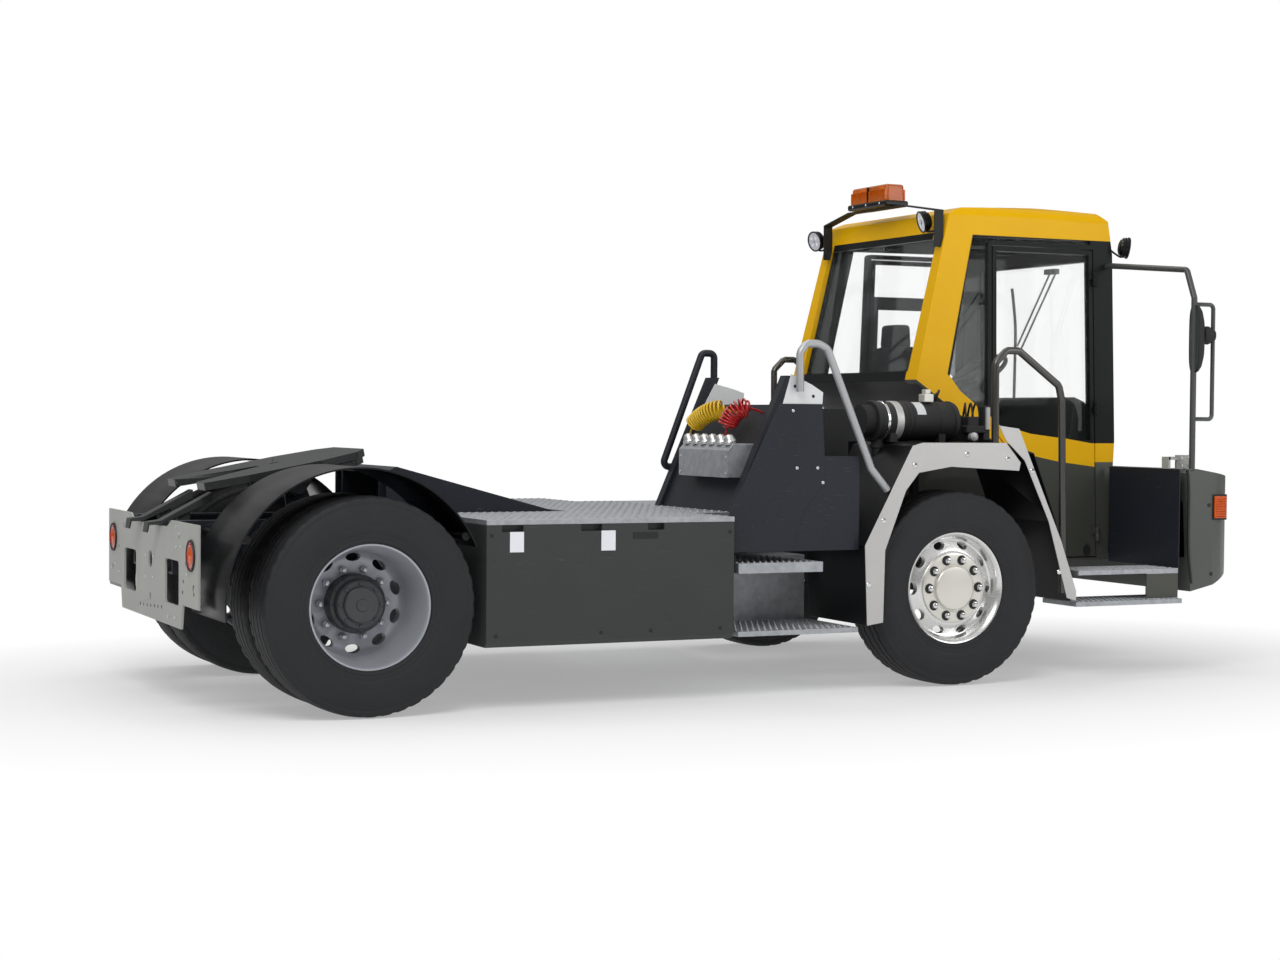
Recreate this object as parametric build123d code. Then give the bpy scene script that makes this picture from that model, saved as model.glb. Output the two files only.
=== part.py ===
from build123d import *
import math
import os

os.makedirs("parts", exist_ok=True)

# All sizes are in millimetres. X runs forward from the rear axle, Y to the
# vehicle's left and Z up from the ground. The parts are moved so that the
# middle of the whole length is at X = 0 only when they are written.

# Whole vehicle. Distances named ahead or behind are measured from the front axle.
wheelbase = 3290
tail_x = -830
nose_ahead = 1900
nose_x = wheelbase + nose_ahead
side_y = 1250
rail_half = 425
rail_top = 900
rail_h = 260
rail_t = 10
rail_flange = 80
rail_rear_x = -745
rail_front_ahead = 1500
rail_front_x = wheelbase + rail_front_ahead
sheet = 6
fit = 0.4
overrun = 20

# Wheels
tyre_r = 522
tyre_w = 290
bead_r = 298
rim_w = 236
seat_gap = 0.3
front_wheel_y = 1052
rear_outer_y = 1106
dual_gap = 50
rear_inner_y = rear_outer_y - tyre_w - dual_gap
spindle_r = 40
rear_spindle_r = 50
hub_len = 140
rear_hub_y = 1120
hub_skin = 16

# Front axle
kingpin_y = 970
kingpin_r = 22
kingpin_h = 190
axle_eye_h = 66
knuckle_gap = 5
knuckle_w = 90
knuckle_fork_h = 36
beam_h = 70
beam_w = 90
beam_drop = 30
spring_y = 380
spring_w = 80
spring_reach = 520

# Deck and boxes
deck_t = 25
deck_z = rail_top + deck_t
deck_in_y = 780
deck_gap = 8
box_x0 = 570
box_front_behind = 1381
box_x1 = wheelbase - box_front_behind
box_z0 = 309
box_in_y = 700

# Cab
cab_right_y = -580
cab_left_y = 930
cab_rear_ahead = 140
cab_rear_x = wheelbase + cab_rear_ahead
cab_front_ahead = 1510
cab_front_x = wheelbase + cab_front_ahead
cab_low_ahead = 750
cab_low_x = wheelbase + cab_low_ahead
cab_sill_z = 610
cab_roof_z = 2655
cab_floor_z = 960
cab_lean = 0.041
cab_wall = 45
glass_t = 6
glass_inset = 12
door_gap = 7
door_frame = 26
belt_z = 1180
door_rear_ahead = 660
door_rear_x = wheelbase + door_rear_ahead
door_front_ahead = 1372
door_front_x = wheelbase + door_front_ahead
door_top_z = 2425

# Boom, fifth wheel and lift
boom_pivot_x = 1300
boom_pivot_z = 800
boom_pin_r = 35
boom_web_y = 300
boom_wing_y = 430
boom_web_t = 20
saddle_x = -100
saddle_z = 1064
saddle_pin_r = 40
plate_front = 412
plate_rear = 468
plate_half = 450
plate_rise = 110
plate_t = 40
plate_tip_deg = 11
kingpin_bore_r = 25.8
ram_y = 210
ram_foot_x = 700
ram_foot_z = 470
ram_eye_x = 540
ram_eye_z = 960
ram_pin_r = 22
ram_barrel_r = 48
ram_rod_r = 28
ram_barrel_len = 455
ram_eye_r = 46
ram_eye_w = 50
ram_slack = 8

# Rear end
rear_x = -757
tail_plate_t = 12
tail_half = 985
tail_low_half = 672
tail_top_z = 905
tail_mid_z = 510
tail_low_z = 392
fender_r = 640
fender_cx = -60
fender_cz = 540
fender_in_y = 620
fender_t = 8

# Tower and its fittings
tower_behind = 1135
tower_x = wheelbase - tower_behind
tower_top_behind = 819
tower_top_x = wheelbase - tower_top_behind
tower_top_z = 1650
post_w = 60
post_right_y = -780
post_left_y = 100
tower_lean = (tower_top_x - tower_x) / (tower_top_z - deck_z)

# Front end
wall_ahead = 1450
wall_x = wheelbase + wall_ahead
bumper_rear_ahead = 1518
bumper_x0 = wheelbase + bumper_rear_ahead
bumper_low_z = 464
bumper_top_z = 1155
bumper_half = 1200
bumper_corner = 200
bumper_t = 14
beam_x0 = rail_front_x
step_top_z = 600
step_low_z = 405


def block(x0, x1, y0, y1, z0, z1):
    """A box between two corners."""
    size = Box(abs(x1 - x0), abs(y1 - y0), abs(z1 - z0))
    return Pos((x0 + x1) / 2, (y0 + y1) / 2, (z0 + z1) / 2) * size


def between(shares, u0, u1, v0, v1):
    """Points given as shares of the two spans they lie in."""
    return [(u0 + u * (u1 - u0), v0 + v * (v1 - v0)) for u, v in shares]


def area(points, corner_r=0):
    """A flat outline, its corners rounded alike where a radius is given."""
    face = make_face(Polyline(*points, close=True))
    if corner_r:
        face = fillet(face.vertices(), corner_r)
    return face


def along_y(face, y0, y1):
    """An outline drawn in X and Z, made solid from y0 to y1."""
    low, high = min(y0, y1), max(y0, y1)
    return Pos(0, high, 0) * extrude(Plane.XZ * face, amount=high - low)


def along_x(face, x0, x1):
    """An outline drawn in Y and Z, made solid from x0 to x1."""
    return Pos(x0, 0, 0) * extrude(Plane.YZ * face, amount=x1 - x0)


def along_z(face, z0, z1):
    """An outline drawn in X and Y, made solid from z0 to z1."""
    return Pos(0, 0, z0) * extrude(face, amount=z1 - z0)


def rod_y(x, z, radius, y0, y1):
    """A round bar across the vehicle."""
    return along_y(Pos(x, z) * Circle(radius), y0, y1)


def rod_z(x, y, radius, z0, z1):
    """A round bar that stands up."""
    return along_z(Pos(x, y) * Circle(radius), z0, z1)


def turned(points):
    """A turned form on the Y axis, from pairs of axial place and radius."""
    section = make_face(Polyline(*[(r, y) for y, r in points], close=True))
    return revolve(section, axis=Axis.Y)


def bent_tube(points, radius, bend):
    """A round tube along straight runs joined by bends."""
    path = FilletPolyline(*points, radius=bend)
    start = Plane(origin=path @ 0, z_dir=path % 0)
    return sweep(start * Circle(radius), path=path)


def both_sides(shape):
    """The shape and its mirror image on the other side."""
    return shape + mirror(shape, about=Plane.XZ)


def write(shape, name):
    """Move the part so that the middle of the length is at X = 0."""
    export_step(Pos(-(tail_x + nose_x) / 2, 0, 0) * shape, "parts/" + name + ".step")


# Frame, from the rear plate to the front beam

cross_w = 80
cross_drop = 20
lug_t = 14
lug_gap = 5
beam_t = 50
beam_low_z = 640
beam_half = 1000
boss_r = 70


def rail(side):
    """One frame rail, a channel open to the middle."""
    low = rail_top - rail_h
    outer = [(rail_half, low), (rail_half, rail_top), (rail_half - rail_flange, rail_top)]
    inner = [(rail_half - rail_flange, rail_top - rail_t), (rail_half - rail_t, rail_top - rail_t),
             (rail_half - rail_t, low + rail_t), (rail_half - rail_flange, low + rail_t),
             (rail_half - rail_flange, low)]
    points = [(side * y, z) for y, z in outer + inner]
    return along_x(area(points), rail_rear_x, rail_front_x)


def chassis_frame():
    """Two rails, their cross-members, and the pins of boom and lift."""
    frame = rail(1) + rail(-1)
    low = rail_top - rail_h
    web = rail_half - rail_t
    # Columns: middle of the cross-member in X, share of the rail height at its top
    cross_members = [(rail_rear_x + cross_w, 0.75), (ram_foot_x + cross_w * 1.2, 0.5),
                     (boom_pivot_x + 3 * cross_w, 0.92), (tower_x, 0.92), (cab_low_x, 0.92)]
    for x, top_share in cross_members:
        frame += block(x - cross_w / 2, x + cross_w / 2, -web, web,
                       low + cross_drop, low + rail_h * top_share)
    frame += block(beam_x0, beam_x0 + beam_t, -beam_half, beam_half, beam_low_z, rail_top)
    for y in (-beam_half, -beam_half + 4 * beam_t, beam_half - beam_t):
        frame += block(wall_x + sheet + seat_gap, beam_x0, y, y + beam_t, beam_low_z, rail_top)
    frame += rod_y(boom_pivot_x, boom_pivot_z, boom_pin_r, -web, web)
    for side in (-1, 1):
        lug_in = side * (boom_web_y + boom_web_t + lug_gap)
        frame += rod_y(boom_pivot_x, boom_pivot_z, boss_r, lug_in, side * web)
        lug_reach = ram_barrel_r + lug_gap
        for y in (ram_y - lug_reach - lug_t, ram_y + lug_reach):
            outline = [(ram_foot_x - ram_eye_r, ram_foot_z), (ram_foot_x, ram_foot_z - ram_eye_r),
                       (ram_foot_x + ram_eye_r, ram_foot_z),
                       (ram_foot_x + cross_w * 1.5, low + cross_drop),
                       (ram_foot_x + cross_w / 2, low + rail_h / 2),
                       (ram_foot_x + cross_w / 2, low + cross_drop)]
            frame += along_y(area(outline), side * y, side * (y + lug_t))
        frame += rod_y(ram_foot_x, ram_foot_z, ram_pin_r,
                       side * (ram_y - lug_reach - lug_t), side * (ram_y + lug_reach + lug_t))
    return frame


def rear_plate():
    """The upright plate across the tail, with its windows and its notch."""
    # Columns: share of the half width in Y, share of the height in Z
    half_shares = [(0.36, 0.93), (0.46, 1.0), (1.0, 1.0), (1.0, 0.23), (0.69, 0.23), (0.66, 0.0)]
    right = [(-y, z) for y, z in reversed(half_shares)]
    points = between(half_shares + right, 0, tail_half, tail_low_z, tail_top_z)
    plate = area(points)
    window_w = tail_half * 0.29
    window_h = (tail_top_z - tail_low_z) * 0.42
    window_z = tail_low_z + (tail_top_z - tail_low_z) * 0.42
    for side in (-1, 1):
        window = Rectangle(window_w, window_h)
        window = fillet(window.vertices(), window_w / 12)
        plate -= Pos(side * tail_half * 0.47, window_z) * window
        for share_y, share_z in ((0.62, 0.86), (0.9, 0.4), (0.75, 0.62)):
            plate -= Pos(side * tail_half * share_y,
                         tail_low_z + (tail_top_z - tail_low_z) * share_z) * Circle(tail_half / 70)
    plate -= Pos(0, tail_low_z + (tail_top_z - tail_low_z) * 0.58) * Circle(tail_half * 0.045)
    plate -= Pos(0, tail_low_z + (tail_top_z - tail_low_z) * 0.22) * Circle(tail_half * 0.02)
    return along_x(plate, rear_x, rear_x + tail_plate_t)


# Ramps that lead a trailer up onto the fifth wheel

ramp_y = 200
ramp_w = 90
ramp_h = 45
ramp_foot_z = 895
ramp_top_x = -500
ramp_slope = 0.535
ramp_lip = 70
ramp_lip_drop = 60
ramp_wall = 8
ramp_leg_x = -640
ramp_leg_w = 60


def ramps():
    """Two channel rails with their bent tips, each on a leg."""
    top_z = ramp_foot_z + (ramp_top_x - rear_x) * ramp_slope
    lip_x = tail_x
    edge = [(ramp_top_x, top_z), (rear_x, ramp_foot_z), (lip_x + ramp_wall, ramp_foot_z - ramp_wall),
            (lip_x, ramp_foot_z - ramp_lip_drop)]
    under = [(lip_x + ramp_wall, ramp_foot_z - ramp_lip_drop),
             (lip_x + 2 * ramp_wall, ramp_foot_z - ramp_h / 2),
             (rear_x, ramp_foot_z - ramp_h / 2), (ramp_top_x, top_z - ramp_h)]
    solid = along_y(area(edge + under), ramp_y - ramp_w / 2, ramp_y + ramp_w / 2)
    leg_top = ramp_foot_z + (ramp_leg_x - rear_x) * ramp_slope - ramp_h / 2
    cross_top = rail_top - rail_h + rail_h * 0.75
    leg = block(ramp_leg_x - ramp_leg_w / 2, ramp_leg_x + ramp_leg_w / 2,
                ramp_y - ramp_w / 3, ramp_y + ramp_w / 3, cross_top, leg_top)
    return both_sides(solid + leg)


# Axles

tube_r = 75
bowl_r = 190
bowl_len = 150
hub_face_y = 640
brake_r = 180
shaft_r = 45
shaft_front_z = 615


def rear_axle():
    """A rigid driven axle: tube, bowl, brake plates and mounting blocks."""
    axle = rod_y(0, tyre_r, tube_r, -hub_face_y, hub_face_y)
    axle += turned([(-bowl_len, 0), (-bowl_len, tube_r), (-bowl_len / 2, bowl_r * 0.85),
                    (0, bowl_r), (bowl_len / 2, bowl_r * 0.85), (bowl_len, tube_r),
                    (bowl_len, 0)]).moved(Location((0, 0, tyre_r)))
    for side in (-1, 1):
        axle += rod_y(0, tyre_r, brake_r, side * (hub_face_y - hub_skin), side * hub_face_y)
        axle += rod_y(0, tyre_r, rear_spindle_r, side * hub_face_y,
                      side * (rear_hub_y - 2 * hub_skin))
        axle += block(-tube_r, tube_r, side * (rail_half - rail_flange), side * rail_half,
                      tyre_r, rail_top - rail_h)
    nose = Plane(origin=(0, 0, tyre_r), z_dir=(1, 0, 0))
    axle += extrude(nose * Circle(tube_r), amount=bowl_r + overrun * 2)
    return axle


def drive_shaft():
    """The shaft from the engine to the bowl of the rear axle, with its flanges."""
    rear_x_end = bowl_r + overrun * 2
    flange = Circle(tube_r)
    rear_end = Vector(rear_x_end + overrun / 2, 0, tyre_r)
    front_end = Vector(engine_x0 - overrun / 2, 0, shaft_front_z)
    run = front_end - rear_end
    shaft = extrude(Plane(origin=rear_end, z_dir=run) * Circle(shaft_r), amount=run.length)
    shaft += extrude(Plane(origin=(rear_x_end, 0, tyre_r), z_dir=(1, 0, 0)) * flange, amount=overrun)
    shaft += extrude(Plane(origin=(engine_x0, 0, shaft_front_z), z_dir=(-1, 0, 0)) * flange,
                     amount=overrun)
    return shaft


def front_axle():
    """The steered axle's beam, with its leaf springs under the rails."""
    eye_z = tyre_r
    ends = kingpin_y
    drop = tyre_r - beam_drop
    half_h = beam_h / 2
    top = [(ends, eye_z + half_h), (ends - tyre_w, eye_z + half_h), (spring_y + spring_w, drop + half_h)]
    low = [(spring_y + spring_w, drop - half_h), (ends - tyre_w, eye_z - half_h), (ends, eye_z - half_h)]
    points = top + [(-y, z) for y, z in reversed(top)] + [(-y, z) for y, z in reversed(low)] + low
    beam = along_x(area(points), wheelbase - beam_w / 2, wheelbase + beam_w / 2)
    rail_low = rail_top - rail_h
    eye_high = rail_low - spring_w
    for side in (-1, 1):
        beam += rod_z(wheelbase, side * ends, beam_w / 2, eye_z - axle_eye_h / 2,
                      eye_z + axle_eye_h / 2)
        beam -= rod_z(wheelbase, side * ends, kingpin_r + fit, 0, tyre_r * 2)
        leaf = [(-spring_reach, eye_high), (0, drop), (spring_reach, eye_high),
                (spring_reach, eye_high + hub_skin), (0, drop + half_h + 3 * hub_skin),
                (-spring_reach, eye_high + hub_skin)]
        face = area([(wheelbase + x, z) for x, z in leaf])
        beam += along_y(face, side * (spring_y - spring_w / 2), side * (spring_y + spring_w / 2))
        for end in (-1, 1):
            x = wheelbase + end * (spring_reach - hub_skin)
            beam += block(x - spring_w / 2, x + spring_w / 2, side * (spring_y - spring_w / 2),
                          side * (spring_y + spring_w / 2), eye_high, rail_low)
    return beam


def knuckle(side):
    """The steering knuckle: a fork on the kingpin, and the wheel's spindle."""
    half = axle_eye_h / 2 + knuckle_gap
    y = kingpin_y
    pin = rod_z(wheelbase, side * y, kingpin_r, tyre_r - kingpin_h / 2, tyre_r + kingpin_h / 2)
    body = pin
    for end in (-1, 1):
        z0 = tyre_r + end * half
        body += rod_z(wheelbase, side * y, knuckle_w / 2, min(z0, z0 + end * knuckle_fork_h),
                      max(z0, z0 + end * knuckle_fork_h))
        body += block(wheelbase - knuckle_w / 2, wheelbase + knuckle_w / 2,
                      side * y, side * (y + knuckle_w * 0.8),
                      min(z0, z0 + end * knuckle_fork_h), max(z0, z0 + end * knuckle_fork_h))
    inner = y + beam_w / 2 + knuckle_gap
    top = half + knuckle_fork_h
    body += block(wheelbase - knuckle_w / 2, wheelbase + knuckle_w / 2, side * inner,
                  side * (inner + knuckle_w / 4), tyre_r - top, tyre_r + top)
    body += rod_y(wheelbase, tyre_r, spindle_r, side * inner,
                  side * (front_wheel_y + hub_len - 3 * hub_skin))
    return body


# Wheels

# Columns: share of half the tyre width along Y, share of the tyre depth
tyre_shares = [(-0.8, 0.0), (-0.97, 0.22), (-1.0, 0.5), (-0.96, 0.82), (-0.8, 1.0),
               (0.8, 1.0), (0.96, 0.82), (1.0, 0.5), (0.97, 0.22), (0.8, 0.0)]
# Columns: share of half the rim width along Y, share of the bead radius
front_rim_shares = [(-1.0, 1.0), (1.0, 1.0), (1.0, 0.94), (0.68, 0.9), (0.6, 0.8), (0.82, 0.68),
                    (0.82, 0.4), (0.97, 0.39), (1.0, 0.3), (1.0, 0.0), (0.02, 0.0),
                    (0.02, 0.37), (0.5, 0.37), (0.72, 0.45), (0.72, 0.66), (0.48, 0.78),
                    (0.5, 0.94), (-1.0, 0.94)]
vent_count = 10
vent_r = 20


def tyre(y):
    """One tyre, a plain ring about its own middle."""
    points = between(tyre_shares, y, y + tyre_w / 2, bead_r, tyre_r)
    return turned(points)


def front_wheel_rim():
    """The polished front rim with its vents, hub and cap."""
    wall_r = bead_r - seat_gap
    rim = turned(between(front_rim_shares, front_wheel_y, front_wheel_y + rim_w / 2, 0, wall_r))
    rim -= rod_y(0, 0, spindle_r + fit, front_wheel_y - rim_w, front_wheel_y + hub_len - 2 * hub_skin)
    for i in range(vent_count):
        turn = 2 * math.pi * i / vent_count
        rim -= rod_y(wall_r * 0.75 * math.cos(turn), wall_r * 0.75 * math.sin(turn), vent_r,
                     front_wheel_y, front_wheel_y + rim_w)
    return rim


def rear_wheel_rim():
    """The twin rear rims, bolted face to face, with their hub and drum."""
    wall_r = bead_r - seat_gap
    half = rim_w / 2
    mid = (rear_outer_y + rear_inner_y) / 2
    step = hub_skin * 0.75
    # Columns: place along Y, share of the bead radius, from the outer rim inwards
    points = [(rear_outer_y - half, 1.0), (rear_outer_y + half, 1.0), (rear_outer_y + half, 0.94),
              (rear_outer_y - half * 0.8, 0.94), (rear_outer_y - half * 1.08, 0.86),
              (mid + step, 0.72), (mid + step, 0.45), (rear_hub_y - 2 * hub_skin, 0.43),
              (rear_hub_y, 0.32), (rear_hub_y, 0.0),
              (rear_inner_y - half * 0.6, 0.0), (rear_inner_y - half * 0.6, 0.69),
              (mid - 2 * step, 0.69), (mid - step, 0.72), (rear_inner_y + half * 1.08, 0.86),
              (rear_inner_y + half * 0.8, 0.94), (rear_inner_y - half, 0.94),
              (rear_inner_y - half, 1.0), (rear_inner_y + half, 1.0),
              (mid - 2.5 * step, 0.88), (mid, 0.75), (mid + 2.5 * step, 0.88)]
    rim = turned([(y, share * wall_r) for y, share in points])
    rim -= rod_y(0, 0, rear_spindle_r + fit, rear_inner_y - rim_w, rear_hub_y - hub_skin)
    return rim


# Boom, fifth wheel and lift rams

boom_peak_x = 400
boom_peak_z = 1161
boom_wedge_x = 345
boom_low_z = 912
boom_plate_t = 12
boom_eye_r = 62
arm_h = 110


def cover_z(x):
    """Height of the boom's sloping cover at a place along X."""
    fall = (boom_peak_z - boom_low_z - boom_plate_t) / (boom_pivot_x - overrun - boom_peak_x)
    return boom_peak_z - (x - boom_peak_x) * fall


def boom_web():
    """Side view of a web, from the pivot tube back to the saddle of the fifth wheel."""
    arm_top = saddle_z - arm_h * 0.73
    cover_x = boom_pivot_x - overrun * 2
    half_t = boom_plate_t / 2
    return [(boom_pivot_x, boom_pivot_z - boom_eye_r), (boom_pivot_x + boom_eye_r * 0.7, boom_pivot_z),
            (boom_pivot_x, boom_pivot_z + boom_eye_r), (cover_x, cover_z(cover_x) - half_t),
            (boom_peak_x, boom_peak_z - half_t), (boom_wedge_x, boom_peak_z - 5 * half_t),
            (boom_wedge_x, arm_top), (saddle_x + arm_h * 0.8, arm_top),
            (saddle_x + arm_h * 0.5, saddle_z), (saddle_x, saddle_z + arm_h * 0.5),
            (saddle_x - arm_h * 0.5, saddle_z),
            (saddle_x - arm_h * 0.4, saddle_z - arm_h), (boom_wedge_x, boom_low_z - overrun)]


def boom_cover():
    """The sloping cover with its two skirts, above the rails."""
    cover_x = boom_pivot_x - overrun
    skirt = area([(boom_wedge_x, boom_low_z), (boom_wedge_x, boom_peak_z - 2 * boom_plate_t),
                  (boom_peak_x, boom_peak_z), (cover_x, boom_low_z + boom_plate_t),
                  (cover_x, boom_low_z)])
    top = area([(boom_wedge_x, boom_peak_z - 3 * boom_plate_t),
                (boom_wedge_x, boom_peak_z - 2 * boom_plate_t), (boom_peak_x, boom_peak_z),
                (cover_x, boom_low_z + boom_plate_t), (cover_x, boom_low_z),
                (boom_peak_x, boom_peak_z - boom_plate_t)])
    cover = along_y(top, -boom_wing_y, boom_wing_y)
    cover += along_y(skirt, boom_wing_y - boom_plate_t, boom_wing_y)
    cover += along_y(skirt, -boom_wing_y, -boom_wing_y + boom_plate_t)
    return cover


def boom():
    """The lifting boom: two webs under a sloping cover, and its pins."""
    body = boom_cover()
    web = area(boom_web())
    ear_x = ram_eye_x + ram_eye_r * 1.6
    half_t = boom_plate_t / 2
    ear = area([(ram_eye_x - ram_eye_r, ram_eye_z), (ram_eye_x, ram_eye_z - ram_eye_r),
                (ram_eye_x + ram_eye_r, ram_eye_z), (ear_x, cover_z(ear_x) - half_t),
                (ram_eye_x - ram_eye_r, cover_z(ram_eye_x - ram_eye_r) - half_t)])
    ear_in = ram_y - ram_eye_w / 2 - lug_gap - lug_t
    ear_out = ram_y + ram_eye_w / 2 + lug_gap
    for side in (-1, 1):
        body += along_y(web, side * boom_web_y, side * (boom_web_y + boom_web_t))
        body += rod_y(saddle_x, saddle_z, saddle_pin_r * 1.4, side * boom_web_y,
                      side * (boom_web_y + 2 * boom_web_t))
        body += rod_y(ram_eye_x, ram_eye_z, ram_pin_r, side * ear_in, side * (ear_out + lug_t))
        for y in (ear_in, ear_out):
            body += along_y(ear, side * y, side * (y + lug_t))
    body += rod_y(boom_pivot_x, boom_pivot_z, boom_eye_r, -boom_web_y, boom_web_y)
    body += block(saddle_x + arm_h, boom_wedge_x - overrun, -boom_web_y, boom_web_y,
                  boom_low_z, boom_low_z + boom_plate_t)
    body += rod_y(saddle_x, saddle_z, saddle_pin_r, -plate_half * 0.86, plate_half * 0.86)
    body -= rod_y(boom_pivot_x, boom_pivot_z, boom_pin_r + fit, -rail_half, rail_half)
    return body


def fifth_wheel():
    """The coupling plate, tipped back, with its throat, bore and trunnions."""
    # Columns: share of the plate's reach in X (forward 1, rearward -1), share of its half width
    half_shares = [(1.0, 0.0), (1.0, 0.55), (0.82, 0.8), (0.3, 1.0), (-0.55, 1.0), (-1.0, 0.86),
                   (-1.0, 0.5), (-0.4, 0.16), (-0.18, 0.075)]
    rim_points = []
    for x_share, y_share in half_shares:
        reach = plate_front if x_share > 0 else plate_rear
        rim_points.append((x_share * reach, y_share * plate_half))
    lower = [(x, -y) for x, y in reversed(rim_points[1:])]
    top = area(rim_points + lower)
    top -= Circle(kingpin_bore_r)
    plate = Pos(0, 0, plate_rise - plate_t) * extrude(top, amount=plate_t)
    skirt_h = plate_t * 0.8
    frame_face = area(rim_points[:6] + [(-plate_rear * 0.55, plate_half * 0.5)]
                      + [(-plate_rear * 0.55, -plate_half * 0.5)] + lower[-5:])
    skirt = offset(frame_face, amount=-plate_t * 0.3) - offset(frame_face, amount=-plate_t * 0.9)
    skirt = split(Pos(0, 0, plate_rise - plate_t - skirt_h) * extrude(skirt, amount=skirt_h),
                  Plane(origin=(-plate_rear * 0.35, 0, 0), z_dir=(1, 0, 0)), keep=Keep.TOP)
    plate += skirt
    for side in (-1, 1):
        y0 = boom_web_y + 2 * boom_web_t + knuckle_gap
        outline = [(-saddle_pin_r * 1.6, 0), (0, -saddle_pin_r * 1.6), (saddle_pin_r * 1.6, 0),
                   (saddle_pin_r * 2.4, plate_rise - plate_t / 2),
                   (-saddle_pin_r * 2.4, plate_rise - plate_t / 2)]
        trunnion = along_y(area(outline), side * y0, side * (y0 + boom_web_t * 1.5))
        plate += trunnion
    plate -= rod_y(0, 0, saddle_pin_r + fit, -plate_half, plate_half)
    return Pos(saddle_x, 0, saddle_z) * Rot(0, -plate_tip_deg, 0) * plate


def ram_run():
    """Length and lean of a lift ram at rest."""
    dx = ram_eye_x - ram_foot_x
    dz = ram_eye_z - ram_foot_z
    return math.hypot(dx, dz), math.degrees(math.atan2(dx, dz))


def lift_barrels():
    """The two barrels of the lift rams, on their foot pins."""
    run, lean = ram_run()
    length = ram_barrel_len
    barrel = Pos(0, 0, ram_eye_r * 0.8) * Cylinder(ram_barrel_r, length - ram_eye_r * 0.8,
                                                   align=(Align.CENTER, Align.CENTER, Align.MIN))
    barrel -= Pos(0, 0, ram_eye_r * 2) * Cylinder(ram_rod_r + fit, length,
                                                  align=(Align.CENTER, Align.CENTER, Align.MIN))
    barrel += rod_y(0, 0, ram_eye_r, -ram_eye_w / 2, ram_eye_w / 2)
    barrel -= rod_y(0, 0, ram_pin_r + 2 * fit, -ram_eye_w, ram_eye_w)
    placed = Pos(ram_foot_x, ram_y, ram_foot_z) * Rot(0, lean, 0) * barrel
    return both_sides(placed)


def lift_rods():
    """The two rods of the lift rams, each with a wide eye round the boom's pin."""
    run, lean = ram_run()
    start = ram_eye_r * 2 + overrun
    rod = Pos(0, 0, start) * Cylinder(ram_rod_r, run - start,
                                      align=(Align.CENTER, Align.CENTER, Align.MIN))
    rod += Pos(0, 0, run) * rod_y(0, 0, ram_eye_r, -ram_eye_w / 2, ram_eye_w / 2)
    rod -= Pos(0, 0, run) * rod_y(0, 0, ram_pin_r + ram_slack, -ram_eye_w, ram_eye_w)
    placed = Pos(ram_foot_x, ram_y, ram_foot_z) * Rot(0, lean, 0) * rod
    return both_sides(placed)


# Rear fenders

stay_r = 20
stay_turns_deg = (150, 30)
fender_start_deg = 186
fender_end_deg = 24


def rear_fenders():
    """Two round shells over the twin wheels, on stays from the rails."""
    inner = fender_r - fender_t

    def rim_point(radius, turn_deg):
        turn = math.radians(turn_deg)
        return (fender_cx + radius * math.cos(turn), fender_cz + radius * math.sin(turn))

    mid_deg = (fender_start_deg + fender_end_deg) / 2
    outer_arc = ThreePointArc(rim_point(fender_r, fender_start_deg), rim_point(fender_r, mid_deg),
                              rim_point(fender_r, fender_end_deg))
    inner_arc = ThreePointArc(rim_point(inner, fender_end_deg), rim_point(inner, mid_deg),
                              rim_point(inner, fender_start_deg))
    edges = [outer_arc, Line(outer_arc @ 1, inner_arc @ 0), inner_arc, Line(inner_arc @ 1, outer_arc @ 0)]
    shell = along_y(make_face(edges), fender_in_y, side_y)
    for turn_deg in stay_turns_deg:
        x, z = rim_point(inner - stay_r * 0.8, turn_deg)
        shell += rod_y(x, z, stay_r, rail_half, side_y - overrun)
    return both_sides(shell)


# Boxes, deck and steps

bracket_w = 60
slot_w = 110
slot_h = 35
mid_box_rear_behind = 1340
mid_box_x0 = wheelbase - mid_box_rear_behind
mid_box_front_behind = 650
mid_box_x1 = wheelbase - mid_box_front_behind
mid_box_y = 680
mid_step_front_behind = 847
mid_step_x1 = wheelbase - mid_step_front_behind
mid_step_z = 685
low_step_front_behind = 633
low_step_x1 = wheelbase - low_step_front_behind
low_step_z = 312
step_t = 26
step_out_y = 1220
front_step_rear_ahead = 766
front_step_x0 = wheelbase + front_step_rear_ahead
front_step_front_ahead = 1230
front_step_x1 = wheelbase + front_step_front_ahead
front_step_in_y = 940
low_step_rear_ahead = 731
low_step_x0 = wheelbase + low_step_rear_ahead


def side_boxes():
    """The long boxes beside the rails, with the notches of their covers."""
    box = block(box_x0, box_x1, box_in_y, side_y, box_z0, rail_top)
    box = chamfer(box.edges().filter_by(Axis.X).group_by(Axis.Z)[0], step_t)
    # Columns: share of the box length, share of the slot width
    for share, width_share in ((0.06, 1.0), (0.37, 1.0), (0.64, 0.8)):
        x = box_x0 + (box_x1 - box_x0) * share
        box -= block(x, x + slot_w * width_share, side_y - slot_h, side_y + overrun,
                     rail_top - slot_h, rail_top + overrun)
    for share in (0.2, 0.8):
        x = box_x0 + (box_x1 - box_x0) * share
        box += block(x - bracket_w / 2, x + bracket_w / 2, rail_half, box_in_y,
                     rail_top - rail_h, rail_top - slot_h)
    return both_sides(box)


def step_boxes():
    """The boxes that carry the middle steps, bolted to the rails."""
    box = block(mid_box_x0, mid_box_x1, rail_half, mid_box_y, low_step_z, mid_step_z)
    return both_sides(box)


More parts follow.
